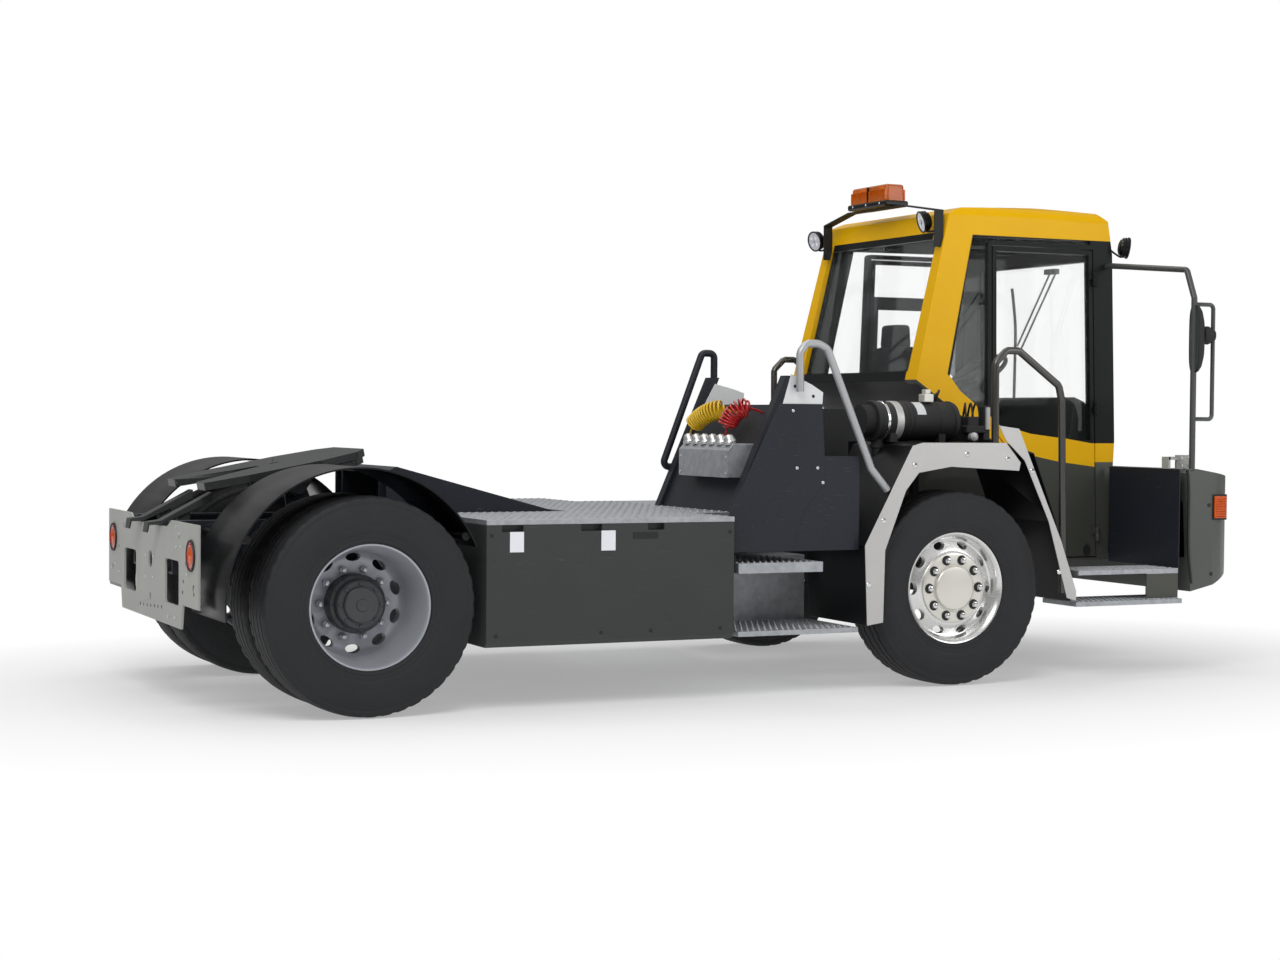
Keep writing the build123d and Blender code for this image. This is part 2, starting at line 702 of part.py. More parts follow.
def tread_plates():
    """The deck and its steps."""
    deck = block(box_x0, box_x1, boom_wing_y + deck_gap, side_y, rail_top, deck_z)
    deck += block(boom_pivot_x + bracket_w, mid_step_x1, 0, deck_in_y, rail_top, deck_z)
    deck = both_sides(deck)
    deck += block(boom_pivot_x + bracket_w, mid_step_x1, -rail_half, rail_half, rail_top, deck_z)
    return deck


def middle_steps():
    """Two steps on each side, below the deck's front end."""
    upper = block(mid_box_x0, mid_step_x1, mid_box_y, step_out_y, mid_step_z - 2 * step_t, mid_step_z)
    lower = block(mid_box_x0, low_step_x1, mid_box_y, step_out_y, low_step_z, low_step_z + step_t)
    return both_sides(upper + lower)


def front_steps():
    """Two steps on each side in front of the wheel, hung from the front wall."""
    upper = block(front_step_x0, wall_x, front_step_in_y, step_out_y, step_top_z - step_t, step_top_z)
    lower = block(low_step_x0, wall_x + sheet, front_step_in_y, side_y,
                  step_low_z, step_low_z + step_t)
    hanger = block(wall_x - sheet, wall_x, front_step_in_y, step_out_y, step_low_z, step_top_z)
    side = block(front_step_x1, wall_x, step_out_y - sheet, step_out_y, step_low_z, step_top_z)
    return both_sides(upper + lower + hanger + side)


# Tower behind the cab, with the coupling box, the hoses and the rails to hold

bar_h = 70
hand_r = 20
tower_tube_bend = 60
coupling_rear_behind = 1160
coupling_rear_x = wheelbase - coupling_rear_behind
coupling_z0 = 1105
coupling_z1 = 1285
coupling_y0 = -745
coupling_y1 = -165
rail_foot_share = 0.3
plate_low_z = 1495


def slanted(x_low, x_high, z0, z1, y0, y1):
    """A plate that leans like the tower, between two offsets from its middle plane."""
    def at(x, z):
        return (tower_x + x + (z - deck_z) * tower_lean, z)
    face = area([at(x_low, z0), at(x_high, z0), at(x_high, z1), at(x_low, z1)])
    return along_y(face, y0, y1)


def tower():
    """Two leaning posts with a panel, a top bar and the rail to hold."""
    half = post_w / 2
    body = slanted(-half, half, deck_z, tower_top_z, post_right_y - half, post_right_y + half)
    body += slanted(-half, half, deck_z, tower_top_z, post_left_y - half, post_left_y + half)
    body += slanted(-sheet, half, plate_low_z - bar_h, plate_low_z, post_right_y, post_left_y)
    body += slanted(-sheet, sheet, deck_z, plate_low_z, post_right_y, post_left_y)
    rail_y = post_left_y + half + hand_r
    mid_z = deck_z + (tower_top_z - deck_z) * rail_foot_share
    points = [(tower_x + (mid_z - deck_z) * tower_lean, rail_y, mid_z),
              (tower_x - bar_h + (mid_z - deck_z) * tower_lean, rail_y, mid_z),
              (tower_top_x - bar_h * 0.6, rail_y, tower_top_z + 2 * bar_h),
              (tower_top_x + bar_h * 0.5, rail_y, tower_top_z + 2 * bar_h),
              (tower_top_x + bar_h * 0.5, rail_y, tower_top_z - bar_h),
              (tower_top_x - hand_r, rail_y, tower_top_z - bar_h)]
    body += bent_tube(points, hand_r, hand_r * 1.5)
    for x, y, z in (points[0], points[-1]):
        body += block(x - hand_r / 2, x + hand_r / 2, post_left_y, rail_y, z - hand_r, z + hand_r)
    return body


def coupling_box():
    """The box on the tower's panel where the trailer's hoses plug in."""
    def lean_x(z):
        return tower_x - sheet - seat_gap + (z - deck_z) * tower_lean
    points = [(coupling_rear_x, coupling_z0), (lean_x(coupling_z0), coupling_z0),
              (lean_x(coupling_z1), coupling_z1),
              (coupling_rear_x + slot_h, coupling_z1), (coupling_rear_x, coupling_z1 - slot_h)]
    return along_y(area(points), coupling_y0, coupling_y1)


# Columns: share of the plate's length, share of its height
plate_shares = [(0.0, 0.0), (0.26, 1.0), (0.74, 0.75), (1.0, 0.57), (0.97, 0.0)]
plate_len = 255
plate_h = 215


def hose_plates():
    """The two bright plates at the tower's top, beside the left post and the right panel."""
    right_x = panel_x0 + (panel_x1 - panel_x0) * panel_top_shares[0]
    right = between(plate_shares, right_x, right_x + plate_len, tower_top_z - plate_h, tower_top_z)
    right = along_y(area(right), -panel_y + panel_t, -panel_y + 2 * panel_t)
    left_x = tower_x + (plate_low_z - deck_z) * tower_lean
    left = between(plate_shares, left_x, left_x + plate_len, plate_low_z + seat_gap,
                   tower_top_z - bar_h / 2)
    left_face = post_left_y - post_w / 2 - seat_gap
    return right + along_y(area(left), left_face - panel_t, left_face)


hose_r = 58
hose_bend = 75
# The routes are drawn for the tower at this place and move with it
route_tower_x = 2155
print("free bends of both curly hoses: radius", hose_bend, "mm")


def hose_yellow():
    """The left hose, from the coupling box up to the tower's panel."""
    points = [(2200, -150, 1285), (2200, -150, 1385), (2265.4, -410, 1492.3), (2375.2, -410, 1444.4)]
    return Pos(tower_x - route_tower_x, 0, 0) * bent_tube(points, hose_r, hose_bend)


def hose_red():
    """The right hose, from the coupling box up to the tower's panel."""
    points = [(2200, -580, 1285), (2200, -580, 1400), (2268.7, -665, 1500.3), (2378.7, -665, 1452.4)]
    return Pos(tower_x - route_tower_x, 0, 0) * bent_tube(points, hose_r, hose_bend)


# Body panels, fenders and rails to hold

panel_y = 1200
panel_t = 5
panel_x0 = box_x1 + seat_gap
panel_front_behind = 599
panel_x1 = wheelbase - panel_front_behind
panel_z0 = 740
panel_z1 = 1497
panel_top_shares = (0.362, 0.68)
panel_low_share = 0.645
# Columns: share of the panels' length, share of their height
side_panel_shares = [(0.0, 0.0), (0.0, 0.26), (panel_top_shares[0], 1.0), (panel_top_shares[1], 1.0),
                     (0.713, 0.47), (0.55, 0.28), (0.455, 0.0)]
low_panel_shares = [(0.3, 0.0), (0.3, panel_low_share), (0.975, panel_low_share), (0.975, 0.0)]


def body_panels():
    """The right side's two panels by the engine, with the rib that joins them to the deck."""
    def sheet_of(shares, depth):
        points = between(shares, panel_x0, panel_x1, panel_z0, panel_z1)
        return along_y(area(points), panel_y - depth - panel_t, panel_y - depth)
    panels = sheet_of(side_panel_shares, 0) + sheet_of(low_panel_shares, panel_t)
    rib = block(panel_x0 + step_t + sheet, mid_step_x1, deck_in_y, panel_y - panel_t,
                rail_top, rail_top + sheet)
    return mirror(panels + rib, about=Plane.XZ)


def front_walls():
    """The upright walls in front of the steps, out to both sides."""
    wall = block(wall_x, wall_x + sheet, -step_out_y, cab_right_y - door_gap, step_top_z, bumper_top_z)
    other = block(wall_x, wall_x + sheet, cab_left_y + door_gap, step_out_y, step_top_z, bumper_top_z)
    return wall + other


# Columns: share of the span from fender_x0 to fender_x1, share of the height
fender_rear_behind = 614
fender_x0 = wheelbase - fender_rear_behind
fender_front_ahead = 730
fender_x1 = wheelbase + fender_front_ahead
fender_z0 = 347
fender_z1 = 1300
fender_shares = [(0.013, 0.0), (0.0, 0.437), (0.213, 0.983), (0.259, 1.0), (0.65, 1.0),
                 (0.787, 0.943), (0.9, 0.555), (1.0, 0.091)]
# Columns: the same shares for the edge nearest the wheel
arch_shares = [(0.085, 0.014), (0.091, 0.408), (0.183, 0.736), (0.242, 0.834), (0.39, 0.867),
               (0.713, 0.843)]
leg_shares = [(0.615, 1.097), (0.711, 1.08), (0.923, 0.443), (1.0, 0.153), (1.0, 0.097),
              (0.955, 0.115), (0.86, 0.555), (0.74, 0.9), (0.65, 1.012)]
fender_inner_y = 640
front_rail_ahead = 658
front_rail_x = wheelbase + front_rail_ahead
trim_t = 5


def front_fenders():
    """Folded sheets over the steered wheels, with a flap in front."""
    outer = between(fender_shares, fender_x0, fender_x1, fender_z0, fender_z1)
    inner = between(fender_shares, fender_x0 + sheet, fender_x1 - sheet, fender_z0, fender_z1 - sheet)
    sheet_face = area(outer + list(reversed(inner)))
    fold = along_y(sheet_face, fender_inner_y, side_y - trim_t - seat_gap)
    fold -= block(front_rail_x - 3 * hand_r, fender_x1 + overrun, side_y - trim_t - 2 * hand_r - knuckle_gap,
                  side_y, 0, fender_z1 - hand_r)
    # Two brackets stand beside the rail and reach under the sheet's flat top
    for share in (0.3, 0.6):
        x = fender_x0 + (fender_x1 - fender_x0) * share
        y0 = rail_half + seat_gap
        fold += block(x - saddle_w / 2, x + saddle_w / 2, y0, y0 + saddle_w,
                      rail_top - rail_h / 2, fender_z1 - sheet / 2)
        fold += block(x - saddle_w / 2, x + saddle_w / 2, y0, fender_inner_y + 3 * saddle_w,
                      fender_z1 - sheet - saddle_w, fender_z1 - sheet / 2)
    return both_sides(fold)


def fender_trims():
    """The bright strips on the fenders' outer faces."""
    outer = between(fender_shares[:5] + [(0.72, 0.89)], fender_x0, fender_x1, fender_z0, fender_z1)
    inner = between(arch_shares, fender_x0, fender_x1, fender_z0, fender_z1)
    strip = area(outer + list(reversed(inner)))
    band = along_y(strip, side_y - trim_t, side_y)
    front = between(leg_shares, fender_x0, fender_x1, fender_z0, fender_z1)
    band += along_y(area(front), side_y - trim_t, side_y)
    return both_sides(band)


# Columns: share of the rail's reach in X, share of its height
rear_hand_shares = [(0.004, 0.673), (0.0, 0.937), (0.066, 0.999), (0.199, 1.0), (0.303, 0.967),
                    (0.812, 0.148), (1.0, 0.0)]
front_hand_shares = [(0.005, 0.623), (0.0, 0.949), (0.151, 1.0), (0.326, 1.0), (0.902, 0.86),
                     (0.95, 0.797), (1.0, 0.0)]
rear_hand_rear_behind = 996
rear_hand_x0 = wheelbase - rear_hand_rear_behind
rear_hand_front_behind = 464
rear_hand_x1 = wheelbase - rear_hand_front_behind
rear_hand_z0 = 1051
rear_hand_z1 = 1807
front_hand_rear_ahead = 201
front_hand_x0 = wheelbase + front_hand_rear_ahead
front_hand_z0 = 483
front_hand_z1 = 1795


def handrails():
    """The rails to hold, behind the fender and by the cab's door."""
    y = panel_y + hand_r
    rear = [(x, y, z) for x, z in between(rear_hand_shares, rear_hand_x0, rear_hand_x1,
                                          rear_hand_z0, rear_hand_z1)]
    y = side_y - trim_t - hand_r
    front = [(x, y, z) for x, z in between(front_hand_shares, front_hand_x0, front_rail_x,
                                           front_hand_z0, front_hand_z1)]
    return mirror(bent_tube(rear, hand_r, hand_r), about=Plane.XZ) + both_sides(bent_tube(front, hand_r, hand_r))


# Bumper, lamps and mirrors

# Columns: share of the bumper's depth, share of its height, from its top rear edge
bumper_shares = [(0.0, 0.967), (0.19, 1.0), (0.845, 0.941), (0.982, 0.865), (0.965, 0.799),
                 (0.85, 0.758), (0.858, 0.569), (0.957, 0.518), (0.939, 0.443), (1.0, 0.394),
                 (0.835, 0.137), (0.51, 0.051), (0.091, 0.0)]


def bumper_solid(inset):
    """The bumper's full form, moved in by a wall where one is given."""
    face = area(between(bumper_shares, bumper_x0, nose_x, bumper_low_z, bumper_top_z))
    if inset:
        face = offset(face, amount=-inset)
    solid = along_y(face, -bumper_half + inset, bumper_half - inset)
    depth = nose_x - bumper_x0
    corner = bumper_corner - inset if inset else bumper_corner
    plan = Rectangle(2 * depth - 2 * inset, 2 * bumper_half - 2 * inset)
    plan = fillet(plan.vertices(), corner)
    return solid & along_z(Pos(bumper_x0, 0) * plan, 0, bumper_top_z + overrun)


def front_bumper():
    """A moulded bumper, hollow and open to the rear."""
    shell = bumper_solid(0)
    hollow = bumper_solid(bumper_t)
    shell -= hollow
    opening_z0 = beam_low_z + bumper_t
    shell -= block(bumper_x0 - overrun, bumper_x0 + 2 * bumper_t + overrun, -bumper_half + bumper_t * 3,
                   bumper_half - bumper_t * 3, opening_z0, rail_top + bumper_t * 5)
    shell -= block(bumper_x0 - overrun, beam_x0 + beam_t + seat_gap, -beam_half - seat_gap,
                   beam_half + seat_gap, beam_low_z - seat_gap, rail_top + seat_gap)
    return shell


lamp_r = 75
lamp_y = 850
lamp_z = 760
lamp_depth = 33
marker_z0 = 880
head_w = 150
head_h = 90


def tail_lamps():
    """Round lamps on the rear plate."""
    lamp = Plane(origin=(rear_x, lamp_y, lamp_z), z_dir=(-1, 0, 0)) * Circle(lamp_r)
    body = extrude(lamp, amount=lamp_depth)
    return both_sides(body)


def head_lamps():
    """Two lamps in the bumper's recess, facing forward."""
    x1 = bumper_x0 + (nose_x - bumper_x0) * 0.858
    lamp = block(x1 + seat_gap, x1 + lamp_depth, lamp_y - head_w / 2, lamp_y + head_w / 2,
                 marker_z0, marker_z0 + head_h)
    return both_sides(lamp)


mirror_ahead = 1560
mirror_x = wheelbase + mirror_ahead
mirror_root_ahead = 1470
mirror_root_x = wheelbase + mirror_root_ahead
mirror_tube_r = 17
mirror_top_z = 2330
mirror_bend_z = 2184
mirror_y = 1190
mirror_head_ahead = 1695
mirror_head_x = wheelbase + mirror_head_ahead
mirror_w = 180
mirror_h = 400
mirror_depth = 85


def mirror_arms():
    """The tube frames beside the cab that carry the mirrors."""
    arms = None
    for side in (-1, 1):
        root = side * cab_side(side, mirror_top_z - mirror_tube_r) + seat_gap
        points = [(mirror_root_x, side * root, mirror_top_z),
                  (mirror_root_x, side * (root + mirror_tube_r * 3), mirror_top_z),
                  (mirror_x, side * (mirror_y - mirror_tube_r * 4), mirror_top_z - mirror_tube_r * 3),
                  (mirror_x, side * mirror_y, mirror_bend_z - mirror_tube_r * 4),
                  (mirror_x, side * mirror_y, bumper_top_z + seat_gap)]
        tube = bent_tube(points, mirror_tube_r, mirror_tube_r * 1.6)
        bracket = [(mirror_x, side * mirror_y, mirror_bend_z - 6 * mirror_tube_r),
                   (mirror_head_x, side * mirror_y, mirror_bend_z - 6 * mirror_tube_r),
                   (mirror_head_x, side * mirror_y, mirror_bend_z - 44 * mirror_tube_r),
                   (mirror_x, side * mirror_y, mirror_bend_z - 44 * mirror_tube_r)]
        tube += bent_tube(bracket, mirror_tube_r * 0.7, mirror_tube_r * 1.5)
        arms = tube if arms is None else arms + tube
    return arms


def mirror_heads():
    """A domed mirror housing on each frame, its glass to the rear."""
    x1 = mirror_head_x - mirror_tube_r * 0.7 - seat_gap
    mid_z = mirror_bend_z - 19 * mirror_tube_r
    back = Rectangle(mirror_w, mirror_h)
    back = fillet(back.vertices(), mirror_w / 4)
    front = Rectangle(mirror_w * 0.6, mirror_h * 0.8)
    front = fillet(front.vertices(), mirror_w / 5)
    dome = loft([Plane.YZ.offset(x1 - mirror_depth) * Pos(mirror_y, mid_z) * back,
                 Plane.YZ.offset(x1) * Pos(mirror_y, mid_z) * front])
    return both_sides(dome)


# Cab

roof_r = 75
# Columns: X as a share of the cab's length, Z as a share of its height
cab_shares = [(0.445, 0.0), (0.956, 0.0), (1.0, 0.34), (1.0, 0.875), (0.98, 0.97), (0.93, 0.992),
              (0.63, 1.0), (0.24, 0.989), (0.17, 0.97), (0.0, 0.503), (0.13, 0.448),
              (0.4, 0.325), (0.445, 0.3)]
# Window and door outlines, in shares of the same spans
side_window_shares = [(0.285, 0.907), (0.885, 0.912), (0.885, 0.34), (0.725, 0.347), (0.567, 0.359),
                      (0.416, 0.384), (0.34, 0.417), (0.215, 0.477), (0.165, 0.518)]


def cab_side(side, z):
    """Place in Y of the cab's outer face at a height, for the left (1) or the right (-1)."""
    foot_y = cab_left_y if side > 0 else cab_right_y
    return foot_y - side * cab_lean * (z - cab_sill_z + overrun)


def cab_form(inset):
    """The cab's closed outer form, or the same form a wall further in."""
    profile = area(between(cab_shares, cab_rear_x, cab_front_x, cab_sill_z, cab_roof_z))
    low_z = cab_sill_z - overrun
    front = area([(cab_side(-1, low_z), low_z), (cab_side(1, low_z), low_z),
                  (cab_side(1, cab_roof_z), cab_roof_z), (cab_side(-1, cab_roof_z), cab_roof_z)])
    front = fillet(front.vertices().group_by(Axis.Y)[-1], roof_r)
    if inset:
        profile = offset(profile, amount=-inset)
        front = offset(front, amount=-inset)
    form = along_y(profile, cab_right_y - overrun, cab_left_y + overrun)
    return form & along_x(front, cab_rear_x - overrun, cab_front_x + overrun)


def cab_spans(shares):
    """An outline given in shares of the cab's length and height."""
    return between(shares, cab_rear_x, cab_front_x, cab_sill_z, cab_roof_z)


def door_outline(inset):
    """The door's outline in side view, moved in by the gap where one is given."""
    rear, front = door_rear_x, door_front_x
    low = cab_sill_z + door_gap + sheet
    step_x = cab_low_x + door_gap * 2
    points = [(step_x, low), (front, low), (front, door_top_z), (rear, door_top_z),
              (rear - door_gap * 2, belt_z + overrun * 10), (step_x, belt_z + overrun * 3)]
    face = area(points)
    return offset(face, amount=-inset) if inset else face


hinge_r = 13
hinge_pin_r = 6
hinge_h = 40
hinge_leaf = 34
hinge_leaf_t = 12
hinge_places = (760, 1500, 2250)


def door_hinges(side):
    """The hinges of a door: what the cab carries, with the pins, and what the door carries."""
    on_body, on_door = None, None
    low = (Align.CENTER, Align.CENTER, Align.MAX)
    high = (Align.CENTER, Align.CENTER, Align.MIN)
    for z in hinge_places:
        y = cab_side(side, z) + side * (hinge_r + 1)
        axis = Plane(origin=(door_front_x - door_gap / 2, y, z), x_dir=(1, 0, 0),
                     z_dir=(0, -side * cab_lean, 1))
        leaf_y = -side * (hinge_r - 2)
        fixed = Cylinder(hinge_r, hinge_h, align=low)
        fixed += Cylinder(hinge_pin_r, hinge_h - fit, align=high)
        fixed += Pos(hinge_leaf / 2, leaf_y, -hinge_h / 2) * Box(hinge_leaf, hinge_leaf_t, hinge_h)
        swung = Pos(0, 0, fit) * Cylinder(hinge_r, hinge_h, align=high)
        swung += Pos(-hinge_leaf / 2, leaf_y, hinge_h / 2 + fit) * Box(hinge_leaf, hinge_leaf_t, hinge_h)
        swung -= Cylinder(hinge_pin_r + fit, hinge_h * 3)
        fixed = axis * fixed
        swung = axis * swung
        on_body = fixed if on_body is None else on_body + fixed
        on_door = swung if on_door is None else on_door + swung
    return on_body, on_door


def cab_parts():
    """The cab's shell split into body, lower body, doors and glass."""
    outer = cab_form(0)
    shell = outer - cab_form(cab_wall)
    glass_skin = cab_form(glass_inset) - cab_form(glass_inset + glass_t)
    y_far = cab_left_y + hinge_r * 3
    window = area(cab_spans(side_window_shares))
    door_cut = door_outline(0)
    door_leaf = door_outline(door_gap)
    in_door = window & offset(door_outline(0), amount=-door_frame - door_gap)
    quarter = window - offset(door_outline(0), amount=door_frame)
    doors = {}
    body = shell
    glass = None
    for name, side, y0, y1 in (("right", -1, -y_far, cab_right_y + cab_wall * 3),
                               ("left", 1, cab_left_y - cab_wall * 3, y_far)):
        leaf = shell & along_y(door_leaf, y0, y1)
        pane = glass_skin & along_y(in_door, y0, y1)
        leaf -= along_y(in_door, y0, y1)
        on_body, on_door = door_hinges(side)
        doors[name] = (leaf + on_door, pane)
        body -= along_y(door_cut, y0, y1)
        body -= along_y(quarter, y0, y1)
        body += on_body
        side_pane = glass_skin & along_y(quarter, y0, y1)
        glass = side_pane if glass is None else glass + side_pane
    y_lean = cab_lean * (cab_roof_z - cab_sill_z)
    low_y = cab_right_y + y_lean + cab_wall * 1.5
    high_y = cab_left_y - y_lean - cab_wall * 1.5
    rear_z0 = cab_sill_z + (cab_roof_z - cab_sill_z) * 0.53
    rear_z1 = cab_sill_z + (cab_roof_z - cab_sill_z) * 0.9
    middle_x = (cab_rear_x + cab_front_x) / 2
    rear_cut = block(cab_rear_x - overrun, middle_x, low_y, high_y, rear_z0, rear_z1)
    front_z0 = cab_sill_z + (cab_roof_z - cab_sill_z) * 0.37
    front_z1 = cab_sill_z + (cab_roof_z - cab_sill_z) * 0.86
    front_cut = block(door_front_x + cab_wall, cab_front_x + overrun, low_y, high_y, front_z0, front_z1)
    for cut in (rear_cut, front_cut):
        body -= cut
        glass += glass_skin & cut
    # The rails and the front beam pass under the floor
    body -= block(cab_low_x - overrun, cab_front_x + overrun, -rail_half - door_gap,
                  rail_half + door_gap, cab_sill_z - overrun, rail_top + seat_gap)
    split_z = belt_z
    lower_zone = block(cab_low_x - overrun, cab_front_x + overrun, -y_far, y_far,
                       cab_sill_z - overrun, split_z)
    lower = body & lower_zone
    upper = body - block(cab_rear_x - overrun, cab_front_x + overrun, -y_far, y_far,
                         cab_sill_z - overrun, split_z)
    floor = cab_form(cab_wall) & block(cab_low_x, cab_front_x, -y_far, y_far,
                                       rail_top + seat_gap, cab_floor_z)
    lower += floor
    return upper, lower, glass, doors


# Inside the cab

seat_y = 300
seat_rear_ahead = 580
seat_x0 = wheelbase + seat_rear_ahead
seat_w = 480
seat_z = 1530
cushion_t = 110
back_h = 560
back_t = 110
wheel_ahead = 1110
wheel_x = wheelbase + wheel_ahead
wheel_z = 1700
wheel_ring_r = 200
wheel_tube_r = 14
wheel_tilt_deg = 35
dash_ahead = 1260
dash_x = wheelbase + dash_ahead
dash_z = 1560
column_r = 32


def seat_cushion():
    """The flat soft part of the driver's seat."""
    cushion = block(seat_x0, seat_x0 + seat_w, seat_y - seat_w / 2, seat_y + seat_w / 2,
                    seat_z - cushion_t, seat_z)
    return fillet(cushion.edges().filter_by(Axis.Z), cushion_t / 3)


def seat_back():
    """The seat's soft back."""
    back = block(seat_x0 - back_t, seat_x0 - seat_gap, seat_y - seat_w / 2, seat_y + seat_w / 2,
                 seat_z - cushion_t * 0.3, seat_z + back_h * 0.7)
    return fillet(back.edges().filter_by(Axis.X), cushion_t / 2)


def seat_base():
    """The seat's frame and stand, down to the cab's floor."""
    top = seat_z - cushion_t - seat_gap
    pan = block(seat_x0 + seat_w * 0.2, seat_x0 + seat_w * 0.95, seat_y - seat_w * 0.42,
                seat_y + seat_w * 0.42, top - 2 * step_t, top)
    stand = block(seat_x0 + seat_w * 0.5, seat_x0 + seat_w * 0.85, seat_y - seat_w * 0.3,
                  seat_y + seat_w * 0.3, cab_floor_z, top - 2 * step_t)
    return pan + stand


def dash():
    """The instrument cowl under the windscreen, with the steering column."""
    y0 = cab_right_y + cab_wall * 3
    y1 = cab_left_y - cab_wall * 4
    # Columns: share of the cowl's depth, share of its height
    cowl_shares = [(0.0, 0.55), (0.25, 1.0), (0.75, 0.95), (1.0, 0.8), (1.0, 0.0), (0.35, 0.0)]
    x1 = cab_front_x - cab_wall * 2.2
    cowl = along_y(area(between(cowl_shares, dash_x, x1, cab_floor_z, dash_z)), y0, y1)
    return cowl


def wheel_plane():
    """Where the steering wheel turns: square to the column."""
    tilt = math.radians(wheel_tilt_deg)
    return Plane(origin=(wheel_x, seat_y, wheel_z), z_dir=(-math.sin(tilt), 0, math.cos(tilt)))


def steering_wheel():
    """The wheel's ring, spokes and boss."""
    ring = Torus(wheel_ring_r, wheel_tube_r)
    boss = Cylinder(column_r * 1.4, column_r)
    for turn in (0, 120, 240):
        spoke = Rot(0, 0, turn) * Pos(wheel_ring_r / 2, 0, 0) * Box(wheel_ring_r, wheel_tube_r * 2,
                                                                   wheel_tube_r)
        boss += spoke
    return wheel_plane() * (ring + boss)


def steering_column():
    """The column from the cowl to the wheel's boss."""
    plane = wheel_plane()
    low = Cylinder(column_r * 0.8, wheel_ring_r * 1.3, align=(Align.CENTER, Align.CENTER, Align.MAX))
    return plane * Pos(0, 0, -column_r / 2 - seat_gap) * low


# Engine, air cleaner and beacon

engine_rear_behind = 810
engine_x0 = wheelbase - engine_rear_behind
engine_front_ahead = 190
engine_x1 = wheelbase + engine_front_ahead
engine_half = 330
engine_z0 = 540
engine_z1 = 1230
hood_z = 1480
cleaner_y = 900
cleaner_z = 1412
cleaner_r = 105
cleaner_rear_behind = 385
cleaner_x0 = wheelbase - cleaner_rear_behind
cleaner_front_ahead = 130
cleaner_x1 = wheelbase + cleaner_front_ahead
saddle_w = 40


def engine():
    """The engine and gearbox as one block between the rails, on four feet."""
    half = engine_half
    body = block(engine_x0, engine_x1, -half, half, engine_z0 + beam_h, engine_z1)
    body = chamfer(body.edges().filter_by(Axis.X).group_by(Axis.Z)[-1], step_t * 3)
    # The cooler and its ducts stand on the rear of the block
    body += block(engine_x0 + saddle_w * 6, engine_x1 - saddle_w, -half, half, engine_z1 - beam_h, hood_z)
    for x in (engine_x0 + saddle_w * 2, engine_x1 - saddle_w * 2):
        for side in (-1, 1):
            body += block(x - saddle_w, x + saddle_w, side * half, side * rail_half,
                          rail_top, rail_top + saddle_w)
    return body


def air_cleaner():
    """The intake filter on the right fender, with its straps' saddles."""
    plane = Plane(origin=(cleaner_x0, -cleaner_y, cleaner_z), z_dir=(1, 0, 0))
    body = extrude(plane * Circle(cleaner_r), amount=cleaner_x1 - cleaner_x0)
    cap = Plane(origin=(cleaner_x0, -cleaner_y, cleaner_z), z_dir=(-1, 0, 0))
    body += extrude(cap * Circle(cleaner_r * 0.8), amount=cleaner_r * 0.6)
    for share in (0.2, 0.8):
        x = cleaner_x0 + (cleaner_x1 - cleaner_x0) * share
        body += block(x - saddle_w / 2, x + saddle_w / 2, -cleaner_y - cleaner_r * 0.8,
                      -cleaner_y + cleaner_r * 0.8, fender_z1, cleaner_z)
    return body


beacon_y0 = -35
beacon_len = 415
beacon_w = 150
beacon_h = 130
beacon_ahead = 310
beacon_x = wheelbase + beacon_ahead
arch_z = 2668
arch_w = 60
arch_t = 8
arch_foot_y = (-492, 756)
arch_foot_z = 2400
arch_knee_z = 2612


def beacon_bracket():
    """The arched strap behind the roof's rear edge that carries beacon and lamps."""
    right_y, left_y = arch_foot_y
    step = (beacon_len - beacon_w) / 3
    line = [(right_y, arch_foot_z), (right_y, arch_knee_z), (beacon_y0 - step, arch_z),
            (beacon_y0 + beacon_len + step, arch_z), (left_y, arch_knee_z), (left_y, arch_foot_z)]
    strap = area(line + [(left_y - arch_t, arch_foot_z), (left_y - arch_t, arch_knee_z - arch_t),
                         (beacon_y0 + beacon_len + step, arch_z - arch_t), (beacon_y0 - step, arch_z - arch_t),
                         (right_y + arch_t, arch_knee_z - arch_t), (right_y + arch_t, arch_foot_z)])
    arch = along_x(strap, beacon_x - arch_w / 2, beacon_x + arch_w / 2)
    return arch - cab_form(0)


def beacon():
    """The amber light bar, drawn in towards its top."""
    low = Pos(beacon_x, beacon_y0 + beacon_len / 2, arch_z) * RectangleRounded(beacon_w, beacon_len, beacon_w / 5)
    body = extrude(low, amount=beacon_h, taper=6)
    return fillet(body.faces().sort_by(Axis.Z)[-1].edges(), beacon_w / 10)


write(chassis_frame(), "chassis_frame")
write(rear_plate(), "rear_plate")
write(ramps(), "ramps")
write(rear_axle() + drive_shaft(), "rear_axle")
write(front_axle(), "front_axle")
write(engine(), "engine")
write(side_boxes(), "side_boxes")
write(tread_plates(), "deck")
write(step_boxes() + middle_steps() + front_steps(), "steps")
write(tower(), "tower")
write(coupling_box(), "coupling_box")
write(hose_plates(), "hose_plates")
write(hose_yellow(), "hose_yellow")
write(hose_red(), "hose_red")
write(body_panels() + front_walls(), "body_panels")
write(front_fenders(), "front_fenders")
write(fender_trims(), "fender_trims")
write(rear_fenders(), "rear_fenders")
write(handrails(), "handrails")
write(front_bumper(), "front_bumper")
write(tail_lamps(), "tail_lamps")
write(head_lamps(), "head_lamps")
write(mirror_arms(), "mirror_arms")
write(mirror_heads(), "mirror_heads")
write(air_cleaner(), "air_cleaner")
write(beacon_bracket(), "beacon_bracket")
write(beacon(), "beacon")
write(boom(), "boom")
write(fifth_wheel(), "fifth_wheel")
write(lift_barrels(), "lift_barrels")
write(lift_rods(), "lift_rods")

upper, lower, glass, doors = cab_parts()
write(upper, "cab_body")
write(lower, "cab_lower")
write(glass, "cab_glass")
for name, (leaf, pane) in doors.items():
    write(leaf, "door_" + name)
    write(pane, "door_" + name + "_glass")

